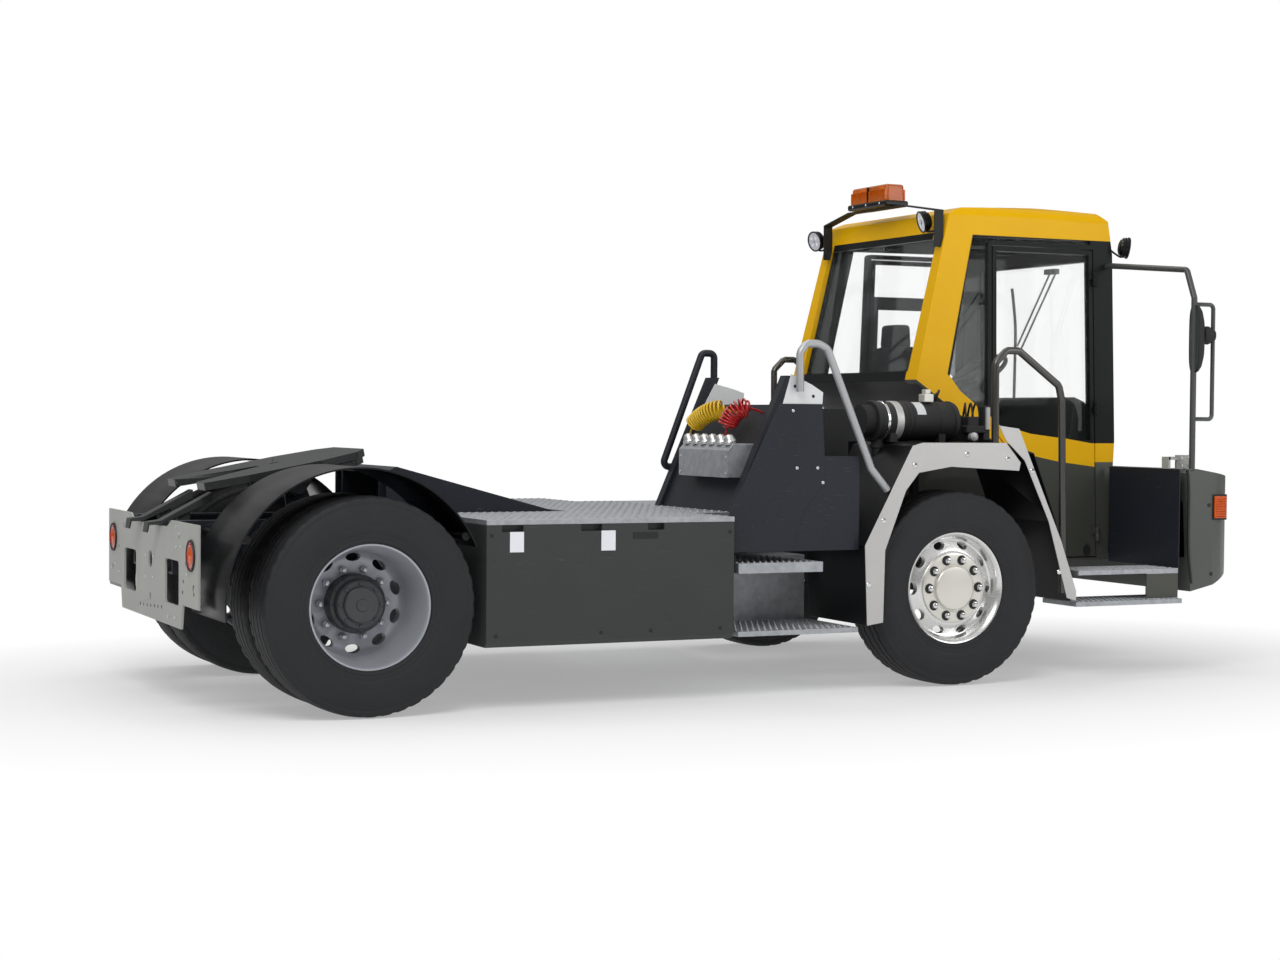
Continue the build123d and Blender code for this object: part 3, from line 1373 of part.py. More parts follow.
write(seat_cushion(), "seat_cushion")
write(seat_back(), "seat_back")
write(seat_base(), "seat_base")
write(dash() + steering_column(), "dash")
write(steering_wheel(), "steering_wheel")

front_rim = Pos(wheelbase, 0, tyre_r) * front_wheel_rim()
front_tyre = Pos(wheelbase, 0, tyre_r) * tyre(front_wheel_y)
rear_rim = Pos(0, 0, tyre_r) * rear_wheel_rim()
rear_tyres = Pos(0, 0, tyre_r) * (tyre(rear_outer_y) + tyre(rear_inner_y))
for mark, rim_shape, tyre_shape in (("f", front_rim, front_tyre), ("r", rear_rim, rear_tyres)):
    write(rim_shape, "rim_" + mark + "l")
    write(tyre_shape, "tyre_" + mark + "l")
    write(mirror(rim_shape, about=Plane.XZ), "rim_" + mark + "r")
    write(mirror(tyre_shape, about=Plane.XZ), "tyre_" + mark + "r")
write(knuckle(1), "knuckle_left")
write(knuckle(-1), "knuckle_right")
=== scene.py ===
# %% [markdown]
# # A terminal tractor, dressed around its CAD frame
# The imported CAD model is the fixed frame: every solid has its place already.
# This script gives those solids their paint and metal, and adds what is too
# fine or too soft for CAD, such as tread, bolts, hoses and cushions.

# %% Load the frame
import bpy
import bmesh
import math
from mathutils import Matrix, Vector


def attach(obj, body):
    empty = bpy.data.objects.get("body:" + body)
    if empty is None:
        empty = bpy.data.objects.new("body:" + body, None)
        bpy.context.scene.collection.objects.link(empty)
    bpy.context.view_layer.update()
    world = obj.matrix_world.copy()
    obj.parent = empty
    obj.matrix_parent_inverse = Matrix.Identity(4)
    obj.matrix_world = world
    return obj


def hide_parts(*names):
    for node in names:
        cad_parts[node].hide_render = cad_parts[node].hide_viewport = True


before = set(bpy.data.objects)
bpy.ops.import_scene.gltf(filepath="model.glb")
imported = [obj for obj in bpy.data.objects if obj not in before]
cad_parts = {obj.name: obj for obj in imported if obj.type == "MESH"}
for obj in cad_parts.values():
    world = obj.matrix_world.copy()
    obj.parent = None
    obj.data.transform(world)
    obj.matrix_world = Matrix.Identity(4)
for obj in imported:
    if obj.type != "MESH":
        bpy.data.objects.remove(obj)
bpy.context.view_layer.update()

# %% [markdown]
# ## One set of axes
# The CAD was drawn in millimetres from the rear axle. Here everything is in
# metres from the middle of the vehicle, so one short helper turns the drawing's
# numbers into places, and the rest of the lesson can quote the drawing.

# %% Places from the drawing
MIDDLE_X = 2180
FRONT_AXLE_X, AXLE_Z = 3290, 522
SIDE_Y = 1250
SIDES = (("right", -1), ("left", 1))


def at(x, y, z):
    """A place from the drawing's millimetres, in the frame's metres."""
    return Vector(((x - MIDDLE_X) / 1000, y / 1000, z / 1000))


def mm(*values):
    """Lengths in millimetres as metres."""
    return [v / 1000 for v in values]


def round_about(count, turn=0.0):
    """Even angles once round a circle."""
    return [2 * math.pi * (i + turn) / count for i in range(count)]


print("front axle at", [round(v, 3) for v in at(FRONT_AXLE_X, 0, AXLE_Z)])

# %% [markdown]
# ## The camera
# The photograph was taken from behind and to the right, low, with a long lens.
# Its place and angles were worked out from points whose real distances are
# known, such as both axles and the tyres' heights, so the render lines up.

# %% Camera
EYE = Vector((-3.252 - 2.18, -11.01, 1.426))
YAW, PITCH, ROLL = 0.443, -0.029, 0.008
forward = Vector((math.sin(YAW) * math.cos(PITCH), math.cos(YAW) * math.cos(PITCH), math.sin(PITCH)))
level_right = Vector((math.cos(YAW), -math.sin(YAW), 0))
level_up = level_right.cross(forward)
right = level_right * math.cos(ROLL) + level_up * math.sin(ROLL)
up = level_up * math.cos(ROLL) - level_right * math.sin(ROLL)
camera = bpy.data.objects.new("camera", bpy.data.cameras.new("camera"))
camera.data.sensor_width = 36
camera.data.lens = 2190.1 / 1280 * camera.data.sensor_width
camera.matrix_world = Matrix((right, up, -forward)).transposed().to_4x4()
camera.location = EYE
bpy.context.scene.collection.objects.link(camera)
bpy.context.scene.camera = camera
bpy.context.scene.view_settings.view_transform = "Standard"
print("lens", round(camera.data.lens, 1), "mm")

# %% [markdown]
# ## Colours
# A material's sockets want linear light, while a colour is easier to judge as
# the numbers a screen shows. One helper turns the second into the first.

# %% Screen colours to linear ones


def tint(r, g, b):
    """A colour from 0 to 255 per channel, as linear light with full cover."""
    share = [v / 255 for v in (r, g, b)]
    return [v / 12.92 if v <= 0.04045 else ((v + 0.055) / 1.055) ** 2.4 for v in share] + [1.0]


print("cab yellow in linear light", [round(v, 3) for v in tint(226, 168, 6)])

# %% [markdown]
# ## Shader groups that many finishes share
# Paint, plastic and rubber outdoors all do the same two things: their colour
# drifts a little from place to place, and dust settles where they face up.
# Building that once as a group, with its own inputs, keeps every material
# short and alike. A group gives out colours and values only.

# %% A small node-tree helper


def group_tree(name, inputs, outputs):
    """A new shader group with its sockets, and its two end nodes."""
    tree = bpy.data.node_groups.new(name, "ShaderNodeTree")
    for label, kind, value in inputs:
        socket = tree.interface.new_socket(label, in_out="INPUT", socket_type=kind)
        socket.default_value = value
    for label, kind in outputs:
        tree.interface.new_socket(label, in_out="OUTPUT", socket_type=kind)
    return tree, tree.nodes.new("NodeGroupInput"), tree.nodes.new("NodeGroupOutput")


def add(tree, kind, links=(), **settings):
    """A node with its settings, and (input, source) links into it."""
    node = tree.nodes.new(kind)
    for key, value in settings.items():
        if key.startswith("in_"):
            node.inputs[int(key[3:])].default_value = value
        else:
            setattr(node, key, value)
    for socket, source in links:
        tree.links.new(source, node.inputs[socket])
    return node


# %% Weather: drift of colour, and dust on what faces up
weather, w_in, w_out = group_tree("weather", [
    ("Colour", "NodeSocketColor", tint(128, 128, 128)),
    ("Dust Colour", "NodeSocketColor", tint(150, 146, 138)),
    ("Drift", "NodeSocketFloat", 0.1), ("Dust", "NodeSocketFloat", 0.1), ("Scale", "NodeSocketFloat", 3.0),
    ("Roughness", "NodeSocketFloat", 0.4), ("Spread", "NodeSocketFloat", 0.1)],
    [("Colour", "NodeSocketColor"), ("Roughness", "NodeSocketFloat"), ("Mask", "NodeSocketFloat")])
place = add(weather, "ShaderNodeTexCoord")
broad = add(weather, "ShaderNodeTexNoise", [("Vector", place.outputs["Object"]),
                                            ("Scale", w_in.outputs["Scale"])],
            in_3=5.0)
fine = add(weather, "ShaderNodeTexNoise", [("Vector", place.outputs["Object"])], in_2=60.0, in_3=3.0)
facing = add(weather, "ShaderNodeNewGeometry")
split_normal = add(weather, "ShaderNodeSeparateXYZ", [(0, facing.outputs["Normal"])])
upward = add(weather, "ShaderNodeMapRange", [(0, split_normal.outputs["Z"])], in_1=0.2, in_2=1.0)
patchy = add(weather, "ShaderNodeMapRange", [(0, broad.outputs["Fac"])], in_1=0.35, in_2=0.7)
dusty = add(weather, "ShaderNodeMath", [(0, upward.outputs[0]), (1, patchy.outputs[0])], operation="MULTIPLY")
dust_share = add(weather, "ShaderNodeMath", [(0, dusty.outputs[0]), (1, w_in.outputs["Dust"])],
                 operation="MULTIPLY")
lightness = add(weather, "ShaderNodeMapRange", [(0, broad.outputs["Fac"])], in_1=0.3, in_2=0.7,
                in_3=-0.5, in_4=0.5)
drift = add(weather, "ShaderNodeMath", [(0, lightness.outputs[0]), (1, w_in.outputs["Drift"])],
            operation="MULTIPLY")
drift_up = add(weather, "ShaderNodeMath", [(0, drift.outputs[0])], in_1=1.0)
toned = add(weather, "ShaderNodeHueSaturation", [("Color", w_in.outputs["Colour"]),
                                                 ("Value", drift_up.outputs[0])])
dusted = add(weather, "ShaderNodeMix", [(0, dust_share.outputs[0]), (6, toned.outputs[0]),
                                        (7, w_in.outputs["Dust Colour"])], data_type="RGBA")
rough_part = add(weather, "ShaderNodeMath", [(0, fine.outputs["Fac"]), (1, w_in.outputs["Spread"]),
                                             (2, w_in.outputs["Roughness"])], operation="MULTIPLY_ADD")
rough_dust = add(weather, "ShaderNodeMath", [(0, dust_share.outputs[0]), (2, rough_part.outputs[0])],
                 operation="MULTIPLY_ADD", in_1=0.5)
weather.links.new(dusted.outputs[2], w_out.inputs["Colour"])
weather.links.new(rough_dust.outputs[0], w_out.inputs["Roughness"])
weather.links.new(dust_share.outputs[0], w_out.inputs["Mask"])
print("group", weather.name, "with", len(weather.nodes), "nodes")

# %% [markdown]
# Grain is the second shared effect: the orange peel of sprayed paint, the
# leathery skin of moulded plastic and the long lines of brushed steel are all
# noise, only at other sizes and stretched in other directions.

# %% Grain: noise stretched by a vector, as a height and a mask
grain, g_in, g_out = group_tree("grain", [
    ("Scale", "NodeSocketFloat", 400.0), ("Stretch", "NodeSocketVector", (1, 1, 1)),
    ("Sharpness", "NodeSocketFloat", 0.5)],
    [("Height", "NodeSocketFloat"), ("Mask", "NodeSocketFloat")])
spot = add(grain, "ShaderNodeTexCoord")
stretched = add(grain, "ShaderNodeVectorMath", [(0, spot.outputs["Object"]), (1, g_in.outputs["Stretch"])],
                operation="MULTIPLY")
lines = add(grain, "ShaderNodeTexNoise", [("Vector", stretched.outputs[0]), ("Scale", g_in.outputs["Scale"]),
                                          ("Roughness", g_in.outputs["Sharpness"])], in_3=4.0)
picked = add(grain, "ShaderNodeMapRange", [(0, lines.outputs["Fac"])], in_1=0.42, in_2=0.62)
grain.links.new(lines.outputs["Fac"], g_out.inputs["Height"])
grain.links.new(picked.outputs[0], g_out.inputs["Mask"])
print("group", grain.name, "with", len(grain.nodes), "nodes")

# %% [markdown]
# Scuffs are the third: thin pale scratches, where boots, hoses and kingpins
# rub the paint away. Two crossed, very long noises make streaks that seldom
# meet, and only their highest ridges are let through.

# %% Scuffs: sparse thin streaks, as a mask
scuffs, s_in, s_out = group_tree("scuffs", [
    ("Scale", "NodeSocketFloat", 8.0), ("Amount", "NodeSocketFloat", 0.3)], [("Mask", "NodeSocketFloat")])
here = add(scuffs, "ShaderNodeTexCoord")
streaks = []
for turn, stretch in ((0.4, (1, 14, 14)), (-0.7, (14, 1, 14))):
    turned_place = add(scuffs, "ShaderNodeMapping", [(0, here.outputs["Object"])], in_2=(turn, turn, turn),
                       in_3=stretch)
    streaks.append(add(scuffs, "ShaderNodeTexNoise", [("Vector", turned_place.outputs[0]),
                                                      ("Scale", s_in.outputs["Scale"])], in_3=6.0))
highest = add(scuffs, "ShaderNodeMath", [(0, streaks[0].outputs["Fac"]), (1, streaks[1].outputs["Fac"])],
              operation="MAXIMUM")
ridges = add(scuffs, "ShaderNodeMapRange", [(0, highest.outputs[0])], in_1=0.66, in_2=0.74)
shown = add(scuffs, "ShaderNodeMath", [(0, ridges.outputs[0]), (1, s_in.outputs["Amount"])],
            operation="MULTIPLY")
scuffs.links.new(shown.outputs[0], s_out.inputs["Mask"])
print("group", scuffs.name, "with", len(scuffs.nodes), "nodes")

# %% [markdown]
# ## One recipe for every solid finish
# A finish is the weather group for colour and gloss, the grain group for the
# bump, and scuffs where the thing gets knocked. Only the numbers differ
# between cab paint and tyre rubber, so one function builds them all.

# %% The finish recipe
finishes = {}


def finish(name, colour, rough=0.4, spread=0.1, drift=0.1, dust=0.0, metal=0.0, coat=0.0,
           grain_scale=500.0, stretch=(1, 1, 1), bump=0.05, scuff=0.0, scuff_colour=(150, 150, 148),
           scale=3.0, specular=0.5, brushed=0.0, dust_colour=(150, 146, 138)):
    """A procedural material of paint, plastic, rubber or bare metal."""
    material = bpy.data.materials.new(name)
    material.use_nodes = True
    tree = material.node_tree
    shader = tree.nodes["Principled BSDF"]
    worn = add(tree, "ShaderNodeGroup", node_tree=weather)
    for label, value in (("Colour", tint(*colour)), ("Dust Colour", tint(*dust_colour)), ("Drift", drift),
                         ("Dust", dust), ("Scale", scale), ("Roughness", rough), ("Spread", spread)):
        worn.inputs[label].default_value = value
    texture = add(tree, "ShaderNodeGroup", node_tree=grain)
    texture.inputs["Scale"].default_value = grain_scale
    texture.inputs["Stretch"].default_value = stretch
    colour_out, rough_out = worn.outputs["Colour"], worn.outputs["Roughness"]
    if scuff:
        rubbed = add(tree, "ShaderNodeGroup", node_tree=scuffs)
        rubbed.inputs["Amount"].default_value = scuff
        mixed = add(tree, "ShaderNodeMix", [(0, rubbed.outputs["Mask"]), (6, colour_out)], data_type="RGBA")
        mixed.inputs[7].default_value = tint(*scuff_colour)
        colour_out = mixed.outputs[2]
    if brushed:
        streaky = add(tree, "ShaderNodeMath", [(0, texture.outputs["Mask"]), (2, rough_out)],
                      operation="MULTIPLY_ADD", in_1=brushed)
        rough_out = streaky.outputs[0]
    relief = add(tree, "ShaderNodeBump", [("Height", texture.outputs["Height"])])
    relief.inputs["Strength"].default_value = bump
    relief.inputs["Distance"].default_value = 0.002
    tree.links.new(colour_out, shader.inputs["Base Color"])
    tree.links.new(rough_out, shader.inputs["Roughness"])
    tree.links.new(relief.outputs[0], shader.inputs["Normal"])
    shader.inputs["Metallic"].default_value = metal
    shader.inputs["Coat Weight"].default_value = coat
    shader.inputs["Coat Roughness"].default_value = 0.08
    shader.inputs["Specular IOR Level"].default_value = specular
    finishes[name] = material
    return material


# %% Paints and plastics
box_grey = finish("box_grey", (54, 56, 56), rough=0.42, specular=0.35, drift=0.12, dust=0.1, grain_scale=700,
                  bump=0.04, scuff=0.08)
lower_grey = finish("lower_grey", (68, 70, 64), rough=0.36, drift=0.1, coat=0.1, grain_scale=500, bump=0.03)
frame_blue = finish("frame_blue", (30, 34, 42), rough=0.42, specular=0.3, drift=0.16, dust=0.12,
                    grain_scale=600, bump=0.04,
                    scuff=0.12)
plate_grey = finish("plate_grey", (164, 165, 160), rough=0.48, drift=0.12, dust=0.1, grain_scale=500,
                    bump=0.05,
                    scuff=0.25, scuff_colour=(205, 204, 198))
black_shell = finish("black_shell", (10, 11, 14), rough=0.26, spread=0.12, dust=0.03, grain_scale=380,
                     bump=0.06,
                     specular=0.3)
matte_black = finish("matte_black", (20, 20, 22), rough=0.6, drift=0.15, dust=0.05, grain_scale=900,
                     bump=0.12)
bumper_grey = finish("bumper_grey", (76, 79, 75), rough=0.38, drift=0.08, dust=0.05, grain_scale=800,
                     bump=0.07)
trim_dark = finish("trim_dark", (34, 38, 38), rough=0.62, drift=0.12, grain_scale=1100, bump=0.12)
print(len(finishes), "paints and plastics")

# %% Metals and rubber
stainless = finish("stainless", (192, 191, 190), rough=0.34, metal=0.6, brushed=0.18, drift=0.06,
                   grain_scale=60, stretch=(1, 1, 30), bump=0.03)
tube_steel = finish("tube_steel", (196, 198, 200), rough=0.36, metal=1.0, drift=0.08, grain_scale=300,
                    bump=0.03)
dark_tube = finish("dark_tube", (74, 77, 76), rough=0.34, metal=0.2, drift=0.1, grain_scale=400, bump=0.03)
galvanised = finish("galvanised", (168, 171, 175), rough=0.42, metal=0.6, drift=0.3, dust=0.1, scale=26,
                    grain_scale=90, bump=0.06)
cast_dark = finish("cast_dark", (30, 31, 33), rough=0.62, drift=0.25, dust=0.1, grain_scale=220, bump=0.3)
greased = finish("greased", (34, 36, 37), rough=0.34, metal=0.3, drift=0.4, grain_scale=40, stretch=(1, 8, 1),
                 bump=0.08, scuff=0.5, scuff_colour=(128, 128, 124), scale=6, specular=0.4)
chrome = finish("chrome", (214, 214, 216), rough=0.07, metal=1.0, drift=0.03, grain_scale=300, bump=0.01)
polished = finish("polished", (222, 222, 221), rough=0.16, metal=0.85, drift=0.05, brushed=0.1,
                  grain_scale=120,
                  stretch=(1, 20, 1), bump=0.02)
satin_alloy = finish("satin_alloy", (222, 220, 212), rough=0.3, metal=0.7, drift=0.05, grain_scale=200,
                     bump=0.03)
wheel_silver = finish("wheel_silver", (168, 171, 178), rough=0.36, metal=0.35, drift=0.08, dust=0.05,
                      grain_scale=420, bump=0.04)
hub_dark = finish("hub_dark", (66, 68, 70), rough=0.4, metal=0.3, drift=0.14, grain_scale=260, bump=0.1)
rubber = finish("tyre_rubber", (35, 36, 38), rough=0.62, spread=0.14, drift=0.2, dust=0.08, grain_scale=320,
                bump=0.12, scale=5, dust_colour=(96, 92, 86), specular=0.35)
# Dark rubber for rims, strips and the wiper blade; the same finish also makes the painted shade of the holes,
# the pull slots and the marker pockets.
rubber_and_shade = finish("rubber_and_shade", (16, 17, 17), rough=0.5, grain_scale=500, bump=0.06)
hose_yellow = finish("hose_yellow", (222, 182, 6), rough=0.28, coat=0.3, grain_scale=600, bump=0.02)
hose_red = finish("hose_red", (184, 10, 16), rough=0.26, coat=0.3, grain_scale=600, bump=0.02)
white_bright = finish("bright_plate", (214, 216, 217), rough=0.42, metal=0.2, drift=0.06, grain_scale=300,
                      bump=0.03)
print(len(finishes), "finishes in all")

# %% [markdown]
# ## Where the cab changes colour
# The cab is one welded shell with three colours on it: yellow above a curved
# belt, grey below, and a black surround that the glass is bonded to. Inside,
# everything is dark. A painter would mask it off, and so does this group: each
# mask is a chain of straight lines in side view, and a point is inside where it
# is on the right side of every line.

# %% A mask from straight lines
def inside_lines(tree, position, corners, shift=0.0):
    """A 0 to 1 mask that is 1 left of every line through the corners, in side view."""
    lowest = None
    for (x0, z0), (x1, z1) in zip(corners, corners[1:]):
        run = math.hypot(x1 - x0, z1 - z0)
        across = ((z0 - z1) / run, 0, (x1 - x0) / run)
        start = at(x0, 0, z0)
        reach = add(tree, "ShaderNodeVectorMath", [(0, position)], operation="DOT_PRODUCT")
        reach.inputs[1].default_value = across
        level = add(tree, "ShaderNodeMath", [(0, reach.outputs["Value"])], operation="SUBTRACT",
                    in_1=start.dot(Vector(across)) + shift)
        lowest = level if lowest is None else add(
            tree, "ShaderNodeMath", [(0, lowest.outputs[0]), (1, level.outputs[0])], operation="MINIMUM")
    edge = add(tree, "ShaderNodeMapRange", [(0, lowest.outputs[0])], in_1=-0.0008, in_2=0.0008)
    return edge.outputs[0]


# %% The zones of the cab
CAB_FOOT_Z, CAB_LEAN = 590, 0.040214
CAB_SIDE_Y = {1: 930, -1: 580}


def wall_y(side, z):
    """The outer face of the cab's leaning wall at a height, in the drawing's millimetres."""
    return side * (CAB_SIDE_Y[side] - CAB_LEAN * (z - CAB_FOOT_Z))


BELT = [(3400, 1662), (3604, 1528), (3706, 1461), (3981, 1275), (4189, 1223), (4400, 1183), (4650, 1153),
        (5000, 1183)]
WINDOWS = [(3820, 2478), (3640, 1680), (4000, 1385), (4634, 1290), (4900, 1290), (4900, 2478), (3820, 2478)]
REAR_WINDOW = [(3400, 2490), (3400, 1200), (3590, 1200), (3745, 2490), (3400, 2490)]
PILLAR = [(4640, 2383), (4640, 1292), (5000, 1292), (5000, 2383), (4640, 2383)]
# The shell's own outline from the windscreen over the roof to the rear, in shares of its length and height
SKIN = [(3430 + 1370 * a, 590 + 2065 * b) for a, b in (
    (1.0, 0.34), (1.0, 0.875), (0.98, 0.97), (0.93, 0.992), (0.63, 1.0), (0.24, 0.989), (0.17, 0.97),
    (0.0, 0.503))]
zones, _, z_out = group_tree("cab_zones", [], [("Belt", "NodeSocketFloat"), ("Dark", "NodeSocketFloat"),
                                                  ("Pillar", "NodeSocketFloat")])
where = add(zones, "ShaderNodeTexCoord")
spot_on_cab = where.outputs["Object"]
split_place = add(zones, "ShaderNodeSeparateXYZ", [(0, spot_on_cab)])
window_mask = inside_lines(zones, spot_on_cab, WINDOWS)
# How far a point lies inside the leaning side walls
depths = []
for side in (1, -1):
    wall = add(zones, "ShaderNodeMath", [(0, split_place.outputs["Z"])], operation="MULTIPLY_ADD",
               in_1=-CAB_LEAN,
               in_2=(CAB_SIDE_Y[side] + CAB_FOOT_Z * CAB_LEAN) / 1000)
    depths.append(add(zones, "ShaderNodeMath", [(0, split_place.outputs["Y"]), (2, wall.outputs[0])],
                      operation="MULTIPLY_ADD", in_1=-side))
nearest = add(zones, "ShaderNodeMath", [(0, depths[0].outputs[0]), (1, depths[1].outputs[0])],
              operation="MINIMUM")
off_sides = add(zones, "ShaderNodeMapRange", [(0, nearest.outputs[0])], in_1=0.026, in_2=0.028)
off_edges = inside_lines(zones, spot_on_cab, SKIN, shift=0.027)
within = add(zones, "ShaderNodeMath", [(0, off_sides.outputs[0]), (1, off_edges)], operation="MULTIPLY")
behind = add(zones, "ShaderNodeMapRange", [(0, nearest.outputs[0])], in_1=0.118, in_2=0.122)
rear_mask = inside_lines(zones, spot_on_cab, REAR_WINDOW)
rear_dark = add(zones, "ShaderNodeMath", [(0, behind.outputs[0]), (1, rear_mask)], operation="MULTIPLY")
dark_a = add(zones, "ShaderNodeMath", [(0, window_mask), (1, within.outputs[0])], operation="MAXIMUM")
dark = add(zones, "ShaderNodeMath", [(0, dark_a.outputs[0]), (1, rear_dark.outputs[0])], operation="MAXIMUM")
zones.links.new(inside_lines(zones, spot_on_cab, BELT), z_out.inputs["Belt"])
zones.links.new(dark.outputs[0], z_out.inputs["Dark"])
zones.links.new(inside_lines(zones, spot_on_cab, PILLAR), z_out.inputs["Pillar"])
print("group", zones.name, "with", len(zones.nodes), "nodes")

# %% Cab paint: three finishes mixed by the zones


def zone_paint(name, upper, lower):
    """Paint that is yellow, grey or black by the place on the cab."""
    material = finish(name, upper, rough=0.28, spread=0.06, drift=0.05, coat=0.04, grain_scale=260, bump=0.02,
                      specular=0.1)
    tree = material.node_tree
    shader = tree.nodes["Principled BSDF"]
    masks = add(tree, "ShaderNodeGroup", node_tree=zones)
    base = shader.inputs["Base Color"].links[0].from_socket
    rough = shader.inputs["Roughness"].links[0].from_socket
    for mask, colour, matt, flip in (("Belt", lower, 0.36, True), ("Pillar", (58, 58, 52), 0.42, False),
                                     ("Dark", (24, 27, 27), 0.45, False)):
        share = masks.outputs[mask]
        if flip:
            share = add(tree, "ShaderNodeMath", [(1, share)], operation="SUBTRACT", in_0=1.0).outputs[0]
        mixed = add(tree, "ShaderNodeMix", [(0, share), (6, base)], data_type="RGBA")
        mixed.inputs[7].default_value = tint(*colour)
        base = mixed.outputs[2]
        dulled = add(tree, "ShaderNodeMix", [(0, share), (2, rough)])
        dulled.inputs[3].default_value = matt
        rough = dulled.outputs[0]
    tree.links.new(base, shader.inputs["Base Color"])
    tree.links.new(rough, shader.inputs["Roughness"])
    return material


cab_paint = zone_paint("cab_paint", (230, 176, 2), (68, 70, 64))
print("cab paint with", len(cab_paint.node_tree.nodes), "nodes")

# %% [markdown]
# ## Glass and lenses
# Cab glass is thin and nearly clear: a plain transmission, faintly tinted. A
# lamp's lens is thick coloured plastic, so it keeps some of its colour in the
# body and lets the rest glow through. Both get fine noise in their roughness.

# %% Glass and lenses


def clear(name, colour, rough=0.02, through=1.0, alpha=1.0):
    """Glass or a lens: a colour that light passes through."""
    material = bpy.data.materials.new(name)
    material.use_nodes = True
    tree = material.node_tree
    shader = tree.nodes["Principled BSDF"]
    texture = add(tree, "ShaderNodeGroup", node_tree=grain)
    texture.inputs["Scale"].default_value = 18
    haze = add(tree, "ShaderNodeMath", [(0, texture.outputs["Mask"])], operation="MULTIPLY_ADD",
               in_1=rough * 0.3, in_2=rough)
    drifted = add(tree, "ShaderNodeMix", [(0, texture.outputs["Mask"])], data_type="RGBA")
    drifted.inputs[6].default_value = tint(*colour)
    drifted.inputs[7].default_value = tint(*[v * 0.96 for v in colour])
    tree.links.new(haze.outputs[0], shader.inputs["Roughness"])
    tree.links.new(drifted.outputs[2], shader.inputs["Base Color"])
    shader.inputs["Transmission Weight"].default_value = through
    shader.inputs["IOR"].default_value = 1.45
    shader.inputs["Alpha"].default_value = alpha
    finishes[name] = material
    return material


cab_pane = clear("cab_pane", (225, 236, 232), rough=0.0, alpha=0.06)
amber_lens = clear("amber_lens", (226, 112, 10), rough=0.12, through=0.45)
red_lens = clear("red_lens", (196, 26, 14), rough=0.12, through=0.3)
orange_lens = clear("orange_lens", (240, 96, 12), rough=0.12, through=0.3)
white_lens = clear("white_lens", (226, 232, 236), rough=0.05, through=0.5)
mirror_face = finish("mirror_face", (200, 206, 210), rough=0.03, metal=1.0, grain_scale=20, bump=0.0)
print("glass and lenses:", [m.name for m in (cab_pane, amber_lens, red_lens, orange_lens, white_lens)])

# %% [markdown]
# ## Tools for making pieces
# Nearly every added piece is one of four shapes: a section turned about an
# axle, an outline with a thickness, a tube along a line, or many small bolts.
# Each helper hands its mesh to the CAD body that carries it, so that the piece
# moves with that body in every pose.

# %% A mesh piece that rides on a body
added_faces = {}


def settle(name, data, body):
    """An object for a mesh or a curve, carried by a body."""
    made = bpy.data.objects.new(name, data)
    bpy.context.scene.collection.objects.link(made)
    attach(made, body)
    return made


def piece(name, skin, material, body="chassis", sharp=35):
    """Make a mesh object from a skin (verts, faces), smooth but sharp above an angle."""
    verts, faces = skin
    mesh = bpy.data.meshes.new(name)
    mesh.from_pydata([tuple(v) for v in verts], [], faces)
    form = bmesh.new()
    form.from_mesh(mesh)
    bmesh.ops.recalc_face_normals(form, faces=form.faces)
    for face in form.faces:
        face.smooth = True
    for edge in form.edges:
        edge.smooth = not edge.is_manifold or edge.calc_face_angle(0) < math.radians(sharp)
    form.to_mesh(mesh)
    form.free()
    mesh.materials.append(material)
    added_faces[name] = len(mesh.polygons)
    return settle(name, mesh, body)


def ring_faces(rings, around):
    """The faces between rings of points, each ring as many points round."""
    return [(r * around + i, r * around + (i + 1) % around, (r + 1) * around + (i + 1) % around,
             (r + 1) * around + i) for r in range(rings - 1) for i in range(around)]


def joined(parts):
    """Several (verts, faces) meshes as one."""
    verts, faces = [], []
    for more_verts, more_faces in parts:
        start = len(verts)
        verts += list(more_verts)
        faces += [[start + i for i in face] for face in more_faces]
    return verts, faces


# %% Turned forms: a section swept about a line across the vehicle


def turned(section, centre, segments=96, closed=True, wave=None):
    """Turn (y, radius) pairs about the Y axis through a centre, in metres."""
    verts, faces = [], []
    count = len(section)
    for i, angle in enumerate(round_about(segments)):
        for k, (y, radius) in enumerate(section):
            dy, dr = wave(i, k) if wave else (0, 0)
            verts.append(Vector((centre[0] + (radius + dr) * math.cos(angle), centre[1] + y + dy,
                                 centre[2] + (radius + dr) * math.sin(angle))))
    for i in range(segments):
        j = (i + 1) % segments
        for k in range(count if closed else count - 1):
            n = (k + 1) % count
            faces.append((i * count + k, i * count + n, j * count + n, j * count + k))
    return verts, faces


# %% Plates: an outline pushed along a direction


def plate(outline, push):
    """A closed outline of points, given a thickness by a vector."""
    count = len(outline)
    verts = [Vector(p) for p in outline] + [Vector(p) + Vector(push) for p in outline]
    faces = [tuple(range(count)), tuple(range(2 * count - 1, count - 1, -1))]
    faces += [(i, (i + 1) % count, count + (i + 1) % count, count + i) for i in range(count)]
    return verts, faces


def side_sheet(x0, x1, z0, z1, y, out):
    """A rectangle on a side face, as thick as it stands out in metres."""
    return plate([at(x0, y, z0), at(x1, y, z0), at(x1, y, z1), at(x0, y, z1)], (0, out, 0))


def brick(low, high):
    """A box between two corners."""
    x0, y0, z0 = low
    x1, y1, z1 = high
    return plate([(x0, y0, z0), (x1, y0, z0), (x1, y1, z0), (x0, y1, z0)], (0, 0, z1 - z0))


def soften(made, width=0.002, segments=2, angle=40):
    """Round the sharp edges of a piece."""
    bevel = made.modifiers.new("rounding", "BEVEL")
    bevel.width, bevel.segments, bevel.limit_method = width, segments, "ANGLE"
    bevel.angle_limit = math.radians(angle)
    bevel.harden_normals = True
    return made


# %% Tubes: a round section along a curve


